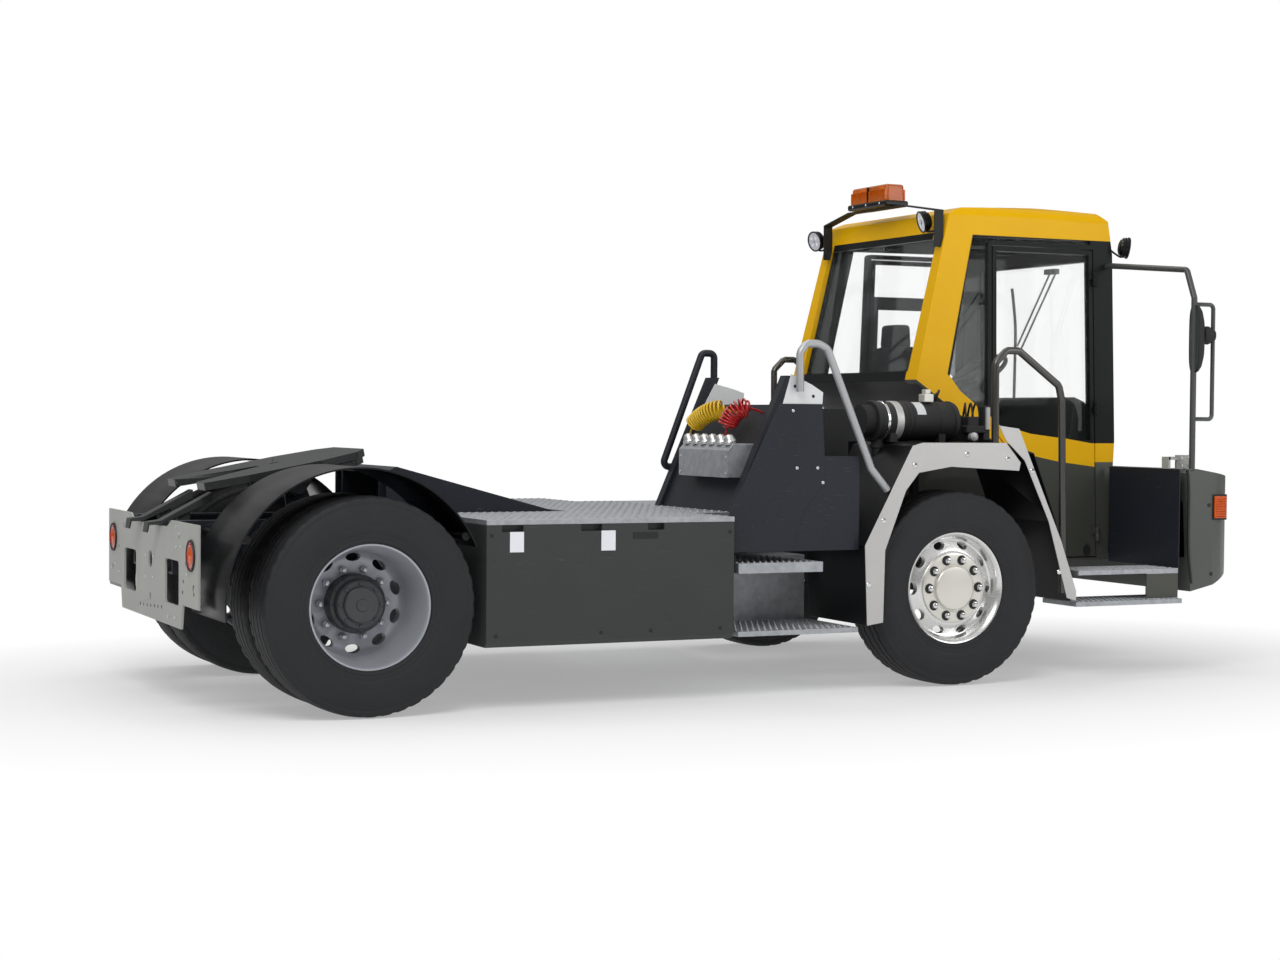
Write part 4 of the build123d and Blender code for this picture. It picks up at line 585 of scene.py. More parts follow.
def smooth_line(name, points, radius, material, body="chassis", order=3, resolution=8):
    """A curve through control points with a round section, as a NURBS line."""
    curve = bpy.data.curves.new(name, "CURVE")
    curve.dimensions = "3D"
    curve.bevel_depth = radius
    curve.bevel_resolution = 3
    curve.resolution_u = resolution
    curve.use_fill_caps = True
    line = curve.splines.new("NURBS")
    line.points.add(len(points) - 1)
    for knot, p in zip(line.points, points):
        knot.co = (*p, 1)
    line.order_u = order
    line.use_endpoint_u = True
    curve.materials.append(material)
    return settle(name, curve, body)


# %% Bolts: many small heads in one mesh


def heads(name, places, direction, radius, height, material, body="chassis", sides=6, dome=0.5):
    """A bolt head at each place, its top drawn in a little and domed."""
    out = Vector(direction).normalized()
    side = out.orthogonal().normalized()
    other = out.cross(side)
    parts = []
    for p in places:
        rings = [(radius, 0), (radius, height * dome), (radius * 0.82, height * 0.92), (radius * 0.3, height)]
        verts = []
        for ring_r, h in rings:
            for a in round_about(sides):
                verts.append(Vector(p) + side * ring_r * math.cos(a) + other * ring_r * math.sin(a) + out * h)
        faces = ring_faces(len(rings), sides)
        faces += [tuple(reversed(range(sides))), tuple(range((len(rings) - 1) * sides, len(rings) * sides))]
        parts.append((verts, faces))
    return piece(name, joined(parts), material, body)


def cut(made, cutter):
    """Cut one mesh out of a piece, and keep the result as its mesh."""
    tool = bpy.data.meshes.new("cutter")
    tool.from_pydata([tuple(v) for v in cutter[0]], [], cutter[1])
    form = bmesh.new()
    form.from_mesh(tool)
    bmesh.ops.recalc_face_normals(form, faces=form.faces)
    form.to_mesh(tool)
    form.free()
    knife = bpy.data.objects.new("cutter", tool)
    bpy.context.scene.collection.objects.link(knife)
    step = made.modifiers.new("cut", "BOOLEAN")
    step.object, step.operation, step.solver = knife, "DIFFERENCE", "EXACT"
    graph = bpy.context.evaluated_depsgraph_get()
    result = bpy.data.meshes.new_from_object(made.evaluated_get(graph))
    made.modifiers.clear()
    made.data = result
    bpy.data.objects.remove(knife)
    return made


print("helpers ready")

# %% [markdown]
# ## The curly air hoses
# Two nylon hoses, yellow and red, carry air to a trailer. Each is wound into a
# spring, so it can stretch and still keep off the deck. The route down the
# middle of the coil is the CAD's own line. The helix is worked out by a loop
# that walks along that line and turns about it, and its radius shrinks to
# nothing at both ends, where the plain lead goes to its fitting.

# %% The hoses' routes, from the drawing
YELLOW_ROUTE = [(2200, -150, 1285), (2200, -150, 1385), (2265.4, -410, 1492.3), (2375.4, -410, 1444.4)]
RED_ROUTE = [(2200, -580, 1285), (2200, -580, 1400), (2268.7, -665, 1500.3), (2378.7, -665, 1452.4)]
HOSE_DIAMETER = 0.012
COIL_RADIUS = 0.05
POINTS_PER_TURN = 16
# The coil's ends swell from nothing, and a smooth line cuts its corners
LOST_TURNS = 1.3


def read_route(points):
    """Even points along a smooth line through the route."""
    guide = smooth_line("guide", points, 0, hose_yellow, resolution=40)
    graph = bpy.context.evaluated_depsgraph_get()
    mesh = bpy.data.meshes.new_from_object(guide.evaluated_get(graph))
    walked = [v.co.copy() for v in mesh.vertices]
    bpy.data.objects.remove(guide)
    return walked


def along(walked, share):
    """The place at a share of a line's length, and the line's direction there."""
    lengths = [0.0]
    for a, b in zip(walked, walked[1:]):
        lengths.append(lengths[-1] + (b - a).length)
    want = share * lengths[-1]
    for i in range(len(walked) - 1):
        if lengths[i + 1] >= want - 1e-9:
            run = lengths[i + 1] - lengths[i]
            t = (want - lengths[i]) / run if run else 0
            return walked[i].lerp(walked[i + 1], t), (walked[i + 1] - walked[i]).normalized()
    return walked[-1], (walked[-1] - walked[-2]).normalized()


# %% Wind a hose


def curly(name, route, length, coil_from, coil_to, material, node):
    """A hose of a real length, coiled between two shares of its route."""
    walked = read_route([at(*p) for p in route])
    straight = sum((b - a).length for a, b in zip(walked, walked[1:]))
    turns = (length - straight) / (2 * math.pi * COIL_RADIUS) + LOST_TURNS
    steps = int(turns * POINTS_PER_TURN)
    points = [along(walked, coil_from * i / 6)[0] for i in range(6)]
    side = along(walked, coil_from)[1].orthogonal().normalized()
    for i in range(steps + 1):
        t = i / steps
        p, direction = along(walked, coil_from + (coil_to - coil_from) * t)
        side = (side - direction * side.dot(direction)).normalized()
        other = direction.cross(side)
        swell = min(1, t * turns, (1 - t) * turns)
        angle = 2 * math.pi * turns * t
        points.append(p + (side * math.cos(angle) + other * math.sin(angle)) * COIL_RADIUS * swell)
    points += [along(walked, coil_to + (1 - coil_to) * (i + 1) / 6)[0] for i in range(6)]
    made = smooth_line(name, points, HOSE_DIAMETER / 2, material, resolution=3)
    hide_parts(node)
    print(name, "turns", round(turns, 1), "route", round(straight, 3), "m")
    return made


curly("hose_yellow_coil", YELLOW_ROUTE, 4.6, 0.22, 0.80, hose_yellow, "hose_yellow")
curly("hose_red_coil", RED_ROUTE, 3.4, 0.24, 0.78, hose_red, "hose_red")

# %% [markdown]
# ## Tyres
# A truck tyre is one section turned about its axle. The ribs and grooves are in
# that section; the zigzag of the grooves and the small cuts along the shoulder
# come from moving some of its points from step to step round the wheel. The
# real sidewall has raised lettering, which stays off this one.

# %% A tyre's half section, and the whole of it
TYRE_STEPS = 168
half_tyre = [(0, 522), (24, 522), (26, 510), (34, 510), (36, 521.8), (76, 521), (78, 509), (86, 509),
             (88, 520.5),
             (124, 517), (131, 513), (136, 504), (138, 490), (136.5, 484), (139, 478), (142.5, 450),
             (143.5, 446),
             (144.2, 438), (143.6, 434), (144.6, 428), (145, 410), (144.4, 392), (142.8, 388), (143.2, 380),
             (138, 352), (134, 344), (134.5, 336), (129, 322), (131, 316), (128, 306), (117, 299), (112, 297)]
section = [(-y, r) for y, r in reversed(half_tyre[1:])] + half_tyre
section = [tuple(mm(y, r)) for y, r in section]
middle = len(half_tyre) - 1
print("tyre section of", len(section), "points")


def tread_wave(i, k):
    """Zigzag the groove walls, and notch the shoulder."""
    ring = abs(k - middle)
    zig = 0.003 if i % 4 < 2 else -0.003
    if 1 <= ring <= 8:
        return (zig if k > middle else -zig), 0
    if ring in (9, 10) and i % 4 == 0:
        return 0, -0.005
    return 0, 0


# %% Put the tyres on their rims
AXLES = {"fl": (FRONT_AXLE_X, (1052,)), "fr": (FRONT_AXLE_X, (-1052,)), "rl": (0, (1106, 766)),
         "rr": (0, (-1106, -766))}
for mark, (axle_x, places) in AXLES.items():
    rings = [turned(section, at(axle_x, y, AXLE_Z), TYRE_STEPS, wave=tread_wave) for y in places]
    tyre = piece("tyre_tread_" + mark, joined(rings), rubber, "wheel_" + mark, sharp=28)
    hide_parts("tyre_" + mark)
print("tyre faces", sum(n for name, n in added_faces.items() if name.startswith("tyre")))

# %% [markdown]
# ## Wheels
# The front wheel is a polished forging: a bright lip, a dish with ten oval
# vents, and a cover plate with ten nuts about a plain round cap. The rear one
# is a painted pair, dished deeply, round a dark hub. Both are turned, then
# their vents are cut by a boolean, which leaves true holes to look through.

# %% Vents, as a ring of short oval bars


def vent_ring(centre, ring_r, along_ring, across, y0, y1, count=10, turn=0.0):
    """Oval cutters on a circle, pushed along the axle."""
    parts = []
    for a in round_about(count, turn):
        radial = Vector((math.cos(a), 0, math.sin(a)))
        tangent = Vector((-math.sin(a), 0, math.cos(a)))
        outline = [Vector(centre) + radial * (ring_r + across * math.cos(b))
                   + tangent * along_ring * math.sin(b) + Vector((0, y0, 0)) for b in round_about(20)]
        parts.append(plate(outline, (0, y1 - y0, 0)))
    return joined(parts)


def circle_places(centre, ring_r, y, count=10, turn=0.0):
    """Places on a circle about an axle."""
    return [Vector(centre) + Vector((ring_r * math.cos(a), y, ring_r * math.sin(a)))
            for a in round_about(count, turn)]


# %% Front wheels
FRONT_RIM = [(-118, 297.5), (-118, 290), (-100, 280), (-60, 262), (20, 252), (34, 246), (40, 214), (44, 110),
             (44, 45), (84, 45), (84, 150), (86, 196), (84, 206), (72, 222), (58, 252), (62, 262), (92, 270),
             (108, 280), (115, 287), (119, 292), (120, 297), (117, 299.5), (106, 297.5)]
COVER = [(84, 186), (96, 190), (99, 186), (101, 178), (101, 128), (98, 124), (98, 119), (112, 117),
         (116, 112),
         (118, 100), (119, 0.01), (84, 0.01)]
for mark, side in (("fl", 1), ("fr", -1)):
    hub = at(FRONT_AXLE_X, 1052 * side, AXLE_Z)
    rim_form = [tuple(mm(side * y, r)) for y, r in FRONT_RIM]
    rim = piece("front_rim_" + mark, turned(rim_form, hub, 120), polished, "wheel_" + mark, sharp=30)
    ends = sorted(mm(side * 20, side * 110))
    cut(rim, vent_ring(hub, 0.236, 0.034, 0.021, ends[0], ends[1]))
    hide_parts("rim_" + mark)
    cover_form = [tuple(mm(side * y, r)) for y, r in COVER]
    piece("nut_cover_" + mark, turned(cover_form, hub, 96), satin_alloy, "wheel_" + mark, sharp=24)
    out = (0, side, 0)
    heads("nut_seats_" + mark, circle_places(hub, 0.155, side * 0.101), out, 0.027, 0.003, cast_dark,
          "wheel_" + mark, sides=20, dome=0.9)
    heads("nuts_" + mark, circle_places(hub, 0.155, side * 0.103), out, 0.0165, 0.026, chrome,
          "wheel_" + mark, dome=0.7)
print("front rim faces", added_faces["front_rim_fl"])

# %% Rear wheels
REAR_RIM = [(1106, 297.5), (1218, 297.5), (1223, 300), (1227, 297), (1225, 290), (1216, 285), (1205, 282),
            (1150, 271), (1080, 262), (1010, 256), (985, 252), (966, 240), (952, 222), (948, 205), (948, 45),
            (925, 45), (925, 205), (905, 240), (860, 256), (760, 266), (665, 282), (650, 290), (648, 297.5),
            (880, 297.5), (905, 262), (936, 236), (967, 262), (990, 297.5)]
REAR_HUB = [(948, 142), (1022, 142), (1030, 138), (1034, 128), (1036, 122), (1072, 118), (1078, 112),
            (1080, 88),
            (1096, 86), (1101, 80), (1103, 30), (1108, 28), (1110, 0.01), (948, 0.01)]
for mark, side in (("rl", 1), ("rr", -1)):
    hub = at(0, 0, AXLE_Z)
    rim_form = [tuple(mm(side * y, r)) for y, r in REAR_RIM]
    rim = piece("rear_rim_" + mark, turned(rim_form, hub, 120), wheel_silver, "wheel_" + mark, sharp=30)
    ends = sorted(mm(side * 900, side * 1010))
    cut(rim, vent_ring(hub, 0.221, 0.037, 0.021, ends[0], ends[1], turn=0.5))
    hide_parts("rim_" + mark)
    hub_form = [tuple(mm(side * y, r)) for y, r in REAR_HUB]
    piece("rear_hub_" + mark, turned(hub_form, hub, 72), hub_dark, "wheel_" + mark, sharp=26)
    out = (0, side, 0)
    heads("rear_nuts_" + mark, circle_places(hub, 0.1675, side * 0.948), out, 0.019, 0.026, wheel_silver,
          "wheel_" + mark, dome=0.8)
    heads("rear_studs_" + mark, circle_places(hub, 0.1675, side * 0.97), out, 0.0105, 0.022, tube_steel,
          "wheel_" + mark, sides=12, dome=0.9)
    heads("hub_bolts_" + mark, circle_places(hub, 0.101, side * 1.078, 8), out, 0.009, 0.01, hub_dark,
          "wheel_" + mark, dome=0.8)
    heads("drum_bolts_" + mark, circle_places(hub, 0.132, side * 1.03, 12), out, 0.006, 0.007, hub_dark,
          "wheel_" + mark, dome=0.8)
print("rear rim faces", added_faces["rear_rim_rl"])

# %% [markdown]
# ## Tread plates with raised teeth
# Where people climb, the galvanised sheet is pierced and its hole edges are
# pulled up into little crowns that grip a boot. Modelled one by one they would
# be heavy, so each crown is a ring of six low points, and one mesh holds them
# all. Rows are set off by half a pitch, as the punching tool leaves them.

# %% A crown, and fields of crowns


def crowns(name, fields, pitch, radius, height, material):
    """Rows of small raised crowns over flat rectangles (x0, x1, y0, y1, z), in drawing millimetres."""
    parts = []
    for x0, x1, y0, y1, z in fields:
        rows = int((y1 - y0) / pitch)
        columns = int((x1 - x0) / pitch)
        for r in range(rows):
            for c in range(columns):
                middle_place = at(x0 + (c + 0.5 + 0.25 * (-1) ** r) * pitch, y0 + (r + 0.5) * pitch, z)
                verts = []
                for ring_r, h in ((radius, -0.0003), (radius * 0.72, height), (radius * 0.45, height * 0.2)):
                    for a in round_about(6):
                        verts.append(middle_place + Vector((ring_r * math.cos(a), ring_r * math.sin(a), h)))
                faces = ring_faces(3, 6) + [tuple(range(12, 18)), tuple(range(5, -1, -1))]
                parts.append((verts, faces))
    return piece(name, joined(parts), material, sharp=20)


DECK_FIELDS = [(590, 1900, side * 845 - 385, side * 845 + 385, 925) for side in (1, -1)]
DECK_FIELDS += [(1925, 2140, side * 605 - 165, side * 605 + 165, 925) for side in (1, -1)]
DECK_FIELDS.append((1375, 2140, -415, 415, 925))
crowns("deck_crowns", DECK_FIELDS, 42, 0.0095, 0.004, galvanised)
STEP_FIELDS = [(1960, x1, side * 950 - 260, side * 950 + 260, z) for side in (1, -1)
               for x1, z in ((2435, 685), (2648, 338))]
crowns("step_crowns", STEP_FIELDS, 34, 0.008, 0.004, galvanised)
FRONT_FIELDS = [(x0, 4730, side * (950 + y1) / 2 - (y1 - 950) / 2, side * (950 + y1) / 2 + (y1 - 950) / 2, z)
                for side in (1, -1) for x0, y1, z in ((4062, 1212, 600), (4030, 1242, 431))]
crowns("front_step_crowns", FRONT_FIELDS, 34, 0.008, 0.004, galvanised)
print("crowns", added_faces["deck_crowns"] + added_faces["step_crowns"] + added_faces["front_step_crowns"],
      "faces")

# %% [markdown]
# ## The warning beacon
# A light bar has a black tray and an amber lens whose sides draw in, with
# upright ribs moulded inside that break up the beam. The lens here is the
# CAD's solid, and the tray, ribs and end screws are added round and in it.

# %% Beacon tray, ribs and screws
TRAY = [(-82, -42), (-82, 387), (82, 387), (82, -42)]
tray = piece("beacon_tray", plate([at(3600 + x, y, 2666) for x, y in TRAY], (0, 0, 0.036)), black_shell)
soften(tray, 0.012, 3)
ribs = []
for i in range(26):
    y = -20 + i * 15.2
    ribs.append(brick(at(3530, y, 2706), at(3670, y + 4, 2768)))
piece("beacon_ribs", joined(ribs), amber_lens)
piece("beacon_divider", brick(at(3526, 168, 2703), at(3674, 177, 2790)), black_shell)
heads("beacon_screws", [at(3517, y, 2684) for y in (20, 172, 320)], (-1, 0, 0), 0.007, 0.004, chrome,
      sides=12)
print("beacon ribs", len(ribs))

# %% [markdown]
# ## Work lamps
# Three round lamps light the coupling and the road. Each is a finned black
# bowl with a dark lens, and four small emitters behind it in a square. The
# bowl is turned about its own axis, then laid along the way it shines.

# %% A section turned about any axis


def spun(section, centre, axis, segments=40):
    """Turn (along, radius) pairs about an axis through a place."""
    out = Vector(axis).normalized()
    side = out.orthogonal().normalized()
    other = out.cross(side)
    count = len(section)
    verts = [Vector(centre) + out * d + (side * math.cos(a) + other * math.sin(a)) * r
             for a in round_about(segments) for d, r in section]
    faces = [(i * count + k, i * count + k + 1, ((i + 1) % segments) * count + k + 1,
              ((i + 1) % segments) * count + k)
             for i in range(segments) for k in range(count - 1)]
    return verts, faces


# %% Round work lamps with four emitters
LAMP_BOWL = [(-0.052, 0.001), (-0.052, 0.03), (-0.046, 0.044), (-0.034, 0.05), (-0.033, 0.057),
             (-0.027, 0.057),
             (-0.026, 0.05), (-0.02, 0.051), (-0.019, 0.06), (-0.013, 0.06), (-0.012, 0.053), (-0.005, 0.054),
             (-0.004, 0.063), (0.004, 0.064), (0.007, 0.061), (0.006, 0.056), (0.002, 0.054), (0.001, 0.001)]
WORK_LAMPS = [("rear_left", (3560, 845, 2520), (-1, -0.15, -0.25), (3600, 756, 2470)),
              ("rear_right", (3545, -395, 2545), (-1, 0.25, -0.3), (3600, -488, 2500)),
              ("front_right", (4880, -545, 2440), (1, -0.5, -0.15), (4790, -480, 2440))]
lamp_glass = clear("lamp_glass", (66, 74, 110), rough=0.05, through=0.35)
emitter = finish("emitter", (232, 234, 240), rough=0.2, metal=0.2, grain_scale=200, bump=0.02)
for label, centre, aim, foot in WORK_LAMPS:
    middle_place, out = at(*centre), Vector(aim).normalized()
    piece("work_lamp_" + label, spun(LAMP_BOWL, middle_place, out), black_shell)
    piece("work_lens_" + label, spun([(0.0015, 0.001), (0.0055, 0.02), (0.003, 0.0555)], middle_place, out),
          lamp_glass)
    side = out.cross(Vector((0, 0, 1))).normalized()
    rise = side.cross(out)
    spots = [middle_place + side * a * 0.02 + rise * b * 0.02 for a in (-1, 1) for b in (-1, 1)]
    heads("work_emitters_" + label, spots, out, 0.012, 0.006, emitter, sides=16, dome=0.3)
    smooth_line("lamp_arm_" + label, [at(*foot), middle_place - out * 0.03 + Vector((0, 0, -0.075)),
                                      middle_place - out * 0.03 + Vector((0, 0, -0.05))], 0.006, matte_black)
print("work lamps", len(WORK_LAMPS))

# %% [markdown]
# ## Rear lamps
# Each end of the tail plate carries a round lamp on a small bracket. Here it is
# a rubber rim and a red or orange lens with moulded rings, which take the place
# of the CAD's tail lamps.

# %% Rear lamp lenses
LENS_EDGE = [(-0.01, 0.074), (0.003, 0.076), (0.008, 0.074), (0.008, 0.069), (0.003, 0.067)]
LENS_OUTER = [(0.003, 0.068), (0.006, 0.062), (0.003, 0.058), (0.006, 0.05), (0.004, 0.045)]
LENS_INNER = [(0.004, 0.045), (0.009, 0.036), (0.006, 0.034), (0.011, 0.022), (0.008, 0.02), (0.012, 0.0005)]
for label, side in (("left", 1), ("right", -1)):
    flush = at(-759, side * 855, 756)
    rim_piece = piece("rear_lamp_rim_" + label, spun(LENS_EDGE, flush, (-1, 0, 0), 64), rubber_and_shade)
    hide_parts("tail_lamps")
    piece("rear_lens_" + label, spun(LENS_OUTER, flush, (-1, 0, 0), 64), red_lens, sharp=50)
    piece("rear_lens_middle_" + label, spun(LENS_INNER, flush, (-1, 0, 0), 64), orange_lens, sharp=50)
print("rear lamps done")

# %% [markdown]
# ## Seat cushions
# Foam under fabric is never flat: it crowns in the middle, pulls in along its
# seams and bulges between its sewn channels. Each cushion is a closed skin
# worked out point by point from a rounded block, flat only where it rests on
# its base. It replaces the CAD's plain stand-in.

# %% Fabric
fabric = finish("seat_fabric", (30, 33, 34), rough=0.85, drift=0.2, dust=0.05, grain_scale=1400,
                stretch=(1, 2.5, 1),
                bump=0.35, scale=9, specular=0.2)

# %% A crowned cushion between two corners


def signed_power(value, power):
    """A rounded-off sine or cosine."""
    return math.copysign(abs(value) ** power, value)


def cushion(name, low, high, node, channels, crown_axis, flat_side, tilt=0.0, taper=0.0):
    """A stuffed skin that fills a box, with sewn channels across it."""
    middle_place = (at(*low) + at(*high)) / 2
    half = (at(*high) - at(*low)) / 2
    verts = []
    around, up_steps = 96, 48
    for j in range(up_steps + 1):
        v = math.pi * (j / up_steps - 0.5)
        for u in round_about(around):
            flat = signed_power(math.cos(v), 0.32)
            p = Vector((flat * signed_power(math.cos(u), 0.34), flat * signed_power(math.sin(u), 0.34),
                        signed_power(math.sin(v), 0.32)))
            across = p[1]
            length_way = p[0] if crown_axis == 2 else p[2]
            level = p[crown_axis] * flat_side
            # The sides pull in between the corners, and the top crowns
            p[1] *= 1 - 0.05 * (1 - min(1, abs(length_way)) ** 2) - taper * length_way
            if level > 0:
                dome = 0.80 + 0.20 * (1 - 0.6 * across ** 2) * (1 - 0.5 * length_way ** 2)
                for spot_share, depth in channels:
                    dome -= depth * math.exp(-((length_way - spot_share) / 0.045) ** 2)
                for welt in (-0.62, 0.62):
                    dome -= 0.05 * math.exp(-((across - welt) / 0.05) ** 2)
                p[crown_axis] *= dome
            verts.append(middle_place + Vector((p[0] * half[0] + tilt * p[2] * half[2], p[1] * half[1],
                                                p[2] * half[2])))
    faces = ring_faces(up_steps + 1, around)
    faces += [tuple(range(around - 1, -1, -1)), tuple(range(up_steps * around, (up_steps + 1) * around))]
    made = piece(name, (verts, faces), fabric, sharp=80)
    if node:
        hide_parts(node)
    return made


CHANNELS = [(-0.45, 0.07), (0.0, 0.07), (0.45, 0.07)]
cushion("seat_cushion_cloth", (3872, 62, 1421), (4348, 538, 1528), "seat_cushion", CHANNELS, 2, 1)
cushion("seat_back_cloth", (3764, 72, 1500), (3868, 528, 1860), "seat_back", CHANNELS, 0, 1, taper=0.12)
cushion("headrest_cloth", (3772, 180, 1850), (3862, 420, 1990), None, [(0.0, 0.03)], 0, 1, taper=0.08)
print("cushion faces", added_faces["seat_cushion_cloth"])

# %% [markdown]
# ## The intake filter
# The drum lies on the right fender: a ribbed hood breathes in at its rear end,
# two straps hold the drum, a clamp joins both, and a bowl below drops its
# dust. The drum itself is the CAD's, and the rest is turned about its line.

# %% Hood, drum rings, clamps and dust bowl
FILTER_LINE = at(0, -900, 1412)


def filter_ring(name, x0, x1, r0, r1, material):
    """A rounded ring about the filter's line between two places."""
    lip = (r1 - r0) * 0.3
    start, end = at(x0, 0, 0).x, at(x1, 0, 0).x
    ring = [(start, r0), (start, r1 - lip), (start + lip, r1), (end - lip, r1), (end, r1 - lip), (end, r0)]
    return piece(name, spun(ring, Vector((0, FILTER_LINE[1], FILTER_LINE[2])), (1, 0, 0), 72), material)


for i in range(7):
    filter_ring(f"filter_hood_rib_{i}", 2846 + i * 9, 2851 + i * 9, 0.07, 0.088, matte_black)
for label, x0, x1, r1, material in (("collar", 2908, 2925, 0.111, matte_black),
                                    ("clamp_rear", 2962, 2978, 0.1085, chrome),
                                    ("strap_a", 3020, 3064, 0.1085, stainless),
                                    ("ring_a", 3100, 3112, 0.110, matte_black),
                                    ("ring_b", 3130, 3142, 0.110, matte_black),
                                    ("strap_b", 3300, 3340, 0.108, matte_black),
                                    ("ring_c", 3392, 3408, 0.111, matte_black)):
    filter_ring("filter_" + label, x0, x1, 0.1, r1, material)
# A blank label plate, bent round the drum
label_verts, label_faces = [], []
for k, x in enumerate((3150, 3205)):
    for i in range(9):
        a = math.radians(200 + i * 7)
        for r in (0.1052, 0.1062):
            label_verts.append(at(x, -900, 1412) + Vector((0, r * math.cos(a), -r * math.sin(a))))
for i in range(8):
    a, b, c, d = i * 2, i * 2 + 2, 18 + i * 2 + 2, 18 + i * 2
    label_faces += [(a + 1, b + 1, c + 1, d + 1), (a, d, c, b)]
piece("filter_label", (label_verts, label_faces), white_bright)
BOWL = [(0.0, 0.001), (0.0, 0.036), (0.03, 0.036), (0.034, 0.041), (0.05, 0.041), (0.055, 0.034), (0.1, 0.03),
        (0.112, 0.018), (0.13, 0.012), (0.132, 0.001)]
piece("dust_bowl", spun(BOWL, at(2955, -905, 1320), (0, 0, -1), 40), matte_black)
VALVE = [brick(at(3215, -960, 1516), at(3275, -900, 1560)), brick(at(3228, -950, 1560), at(3262, -910, 1585))]
soften(piece("valve_block", joined(VALVE), satin_alloy), 0.004)
smooth_line("valve_pipe", [at(3275, -930, 1545), at(3320, -930, 1560), at(3350, -900, 1590),
                           at(3345, -860, 1520), at(3330, -820, 1450)], 0.007, matte_black)
print("filter pieces done")

# %% [markdown]
# ## Bolts and holes
# Sheet metal is held by something, and the photograph shows where. Each place
# below was read from it: bolts on the tail plate, the side panels, the fender
# trims and the boxes. Holes are shallow dark discs of painted shade, which
# stand in for the dark inside of each hole.

# %% Tail plate, panels and trims
PLATE_BOLTS = [(814, 618), (720, 581), (910, 590), (-561, 880), (-631, 848), (-562, 783), (-658, 791),
               (-775, 666), (-981, 680), (85, 705), (-82, 709), (84, 599), (-83, 605), (-399, 434),
               (-537, 439)]
heads("tail_bolts", [at(-757, y, z) for y, z in PLATE_BOLTS if abs(y) < 975], (-1, 0, 0), 0.009, 0.005,
      tube_steel, sides=12)
PLATE_HOLES = [(218 - 79 * i, 447 + 3.5 * i) for i in range(7)]
PLATE_HOLES += [(-697, 625), (-686, 573), (-895, 614), (-905, 577)]
# The tail plate's holes are dark discs of painted shade, standing in for the dark inside of each hole.
heads("tail_hole_shade", [at(-757, y, z) for y, z in PLATE_HOLES], (-1, 0, 0), 0.009, 0.0008, rubber_and_shade,
      sides=14)
PANEL_BOLTS = [(2268, 1462), (2294, 1168), (2416, 1168), (2448, 1092)]
heads("panel_bolts", [at(x, -1200, z) for x, z in PANEL_BOLTS], (0, -1, 0), 0.009, 0.004, tube_steel,
      sides=12)
PANEL_HOLES = [(2200, 1338), (2194, 1312), (2194, 1283), (2194, 1250), (2214, 1340), (2212, 1286),
               (2304, 1311),
               (2302, 1283), (2304, 1255)]
# Painted shade: dark discs for the holes in the side panel.
heads("panel_hole_shade", [at(x, -1200, z) for x, z in PANEL_HOLES], (0, -1, 0), 0.0075, 0.0008, rubber_and_shade,
      sides=14)
# Painted shade: dark discs for three more holes in the side plate.
heads("plate_hole_shade", [at(x, -1195, z) for x, z in ((2281, 1587), (2324, 1588), (2389, 1537))], (0, -1, 0),
      0.009, 0.0008, rubber_and_shade, sides=14)
TRIM_BOLTS = [(2976, 1182), (2787, 893), (3300, 1240), (3560, 1215), (2700, 560), (3905, 600), (3720, 1150)]
for label, side in SIDES:
    heads("trim_bolts_" + label, [at(x, side * SIDE_Y, z) for x, z in TRIM_BOLTS], (0, side, 0), 0.014, 0.005,
          chrome, sides=20, dome=0.4)
print("bolts", len(PLATE_BOLTS) + len(PANEL_BOLTS) + 2 * len(TRIM_BOLTS))

# %% [markdown]
# ## Side boxes and the far window's bars
# The side boxes are closed by flat covers: small screws along the lower edge,
# a slot to pull, shown as a thin dark sheet of painted shade, and two blank
# plates. Across the cab, through the glass, one sees the bars of the left
# door's sliding pane.

# %% Cover details and window bars
COVER_SCREWS = [(620, 366), (1174, 366), (1446, 366), (1832, 366), (596, 850), (1884, 850)]
for label, side in SIDES:
    heads("cover_screws_" + label, [at(x, side * SIDE_Y, z) for x, z in COVER_SCREWS], (0, side, 0), 0.009,
          0.004, matte_black, sides=16)
    # The pull slot is a thin dark sheet of painted shade, standing in for the dark recess.
    soften(piece("pull_slot_shade_" + label, side_sheet(1344, 1480, 824, 854, side * SIDE_Y, side * 0.003),
                 rubber_and_shade), 0.001)
    for x, wide_plate in ((690, 72), (1172, 76)):
        blank = side_sheet(x, x + wide_plate, 768, 866, side * SIDE_Y, side * 0.0015)
        piece(f"blank_plate_{label}_{x}", blank, emitter)


def door_bar(x0, x1, z0, z1):
    """A bar behind the left door's pane, in the plane of the leaning wall."""
    corners = ((x0, z0), (x1, z0), (x1, z1), (x0, z1))
    return plate([at(x, wall_y(1, z) - 34, z) for x, z in corners], (0, 0.012, 0))


WINDOW_BARS = [(3972, 4640, 2109, 2190), (3972, 4020, 1420, 2109), (3972, 4640, 1390, 1425)]
piece("door_left_bars", joined([door_bar(*bar) for bar in WINDOW_BARS]), trim_dark, "door_left")
print("covers and bars done")

# %% [markdown]
# ## Two finishes on one solid
# The front steps are galvanised treads on grey hangers, and the rails to hold
# are silver behind the cab but dark steel beside its door. One solid can carry
# both: a mask in side view mixes the second colour and metal into the first.

# %% A second finish inside a zone


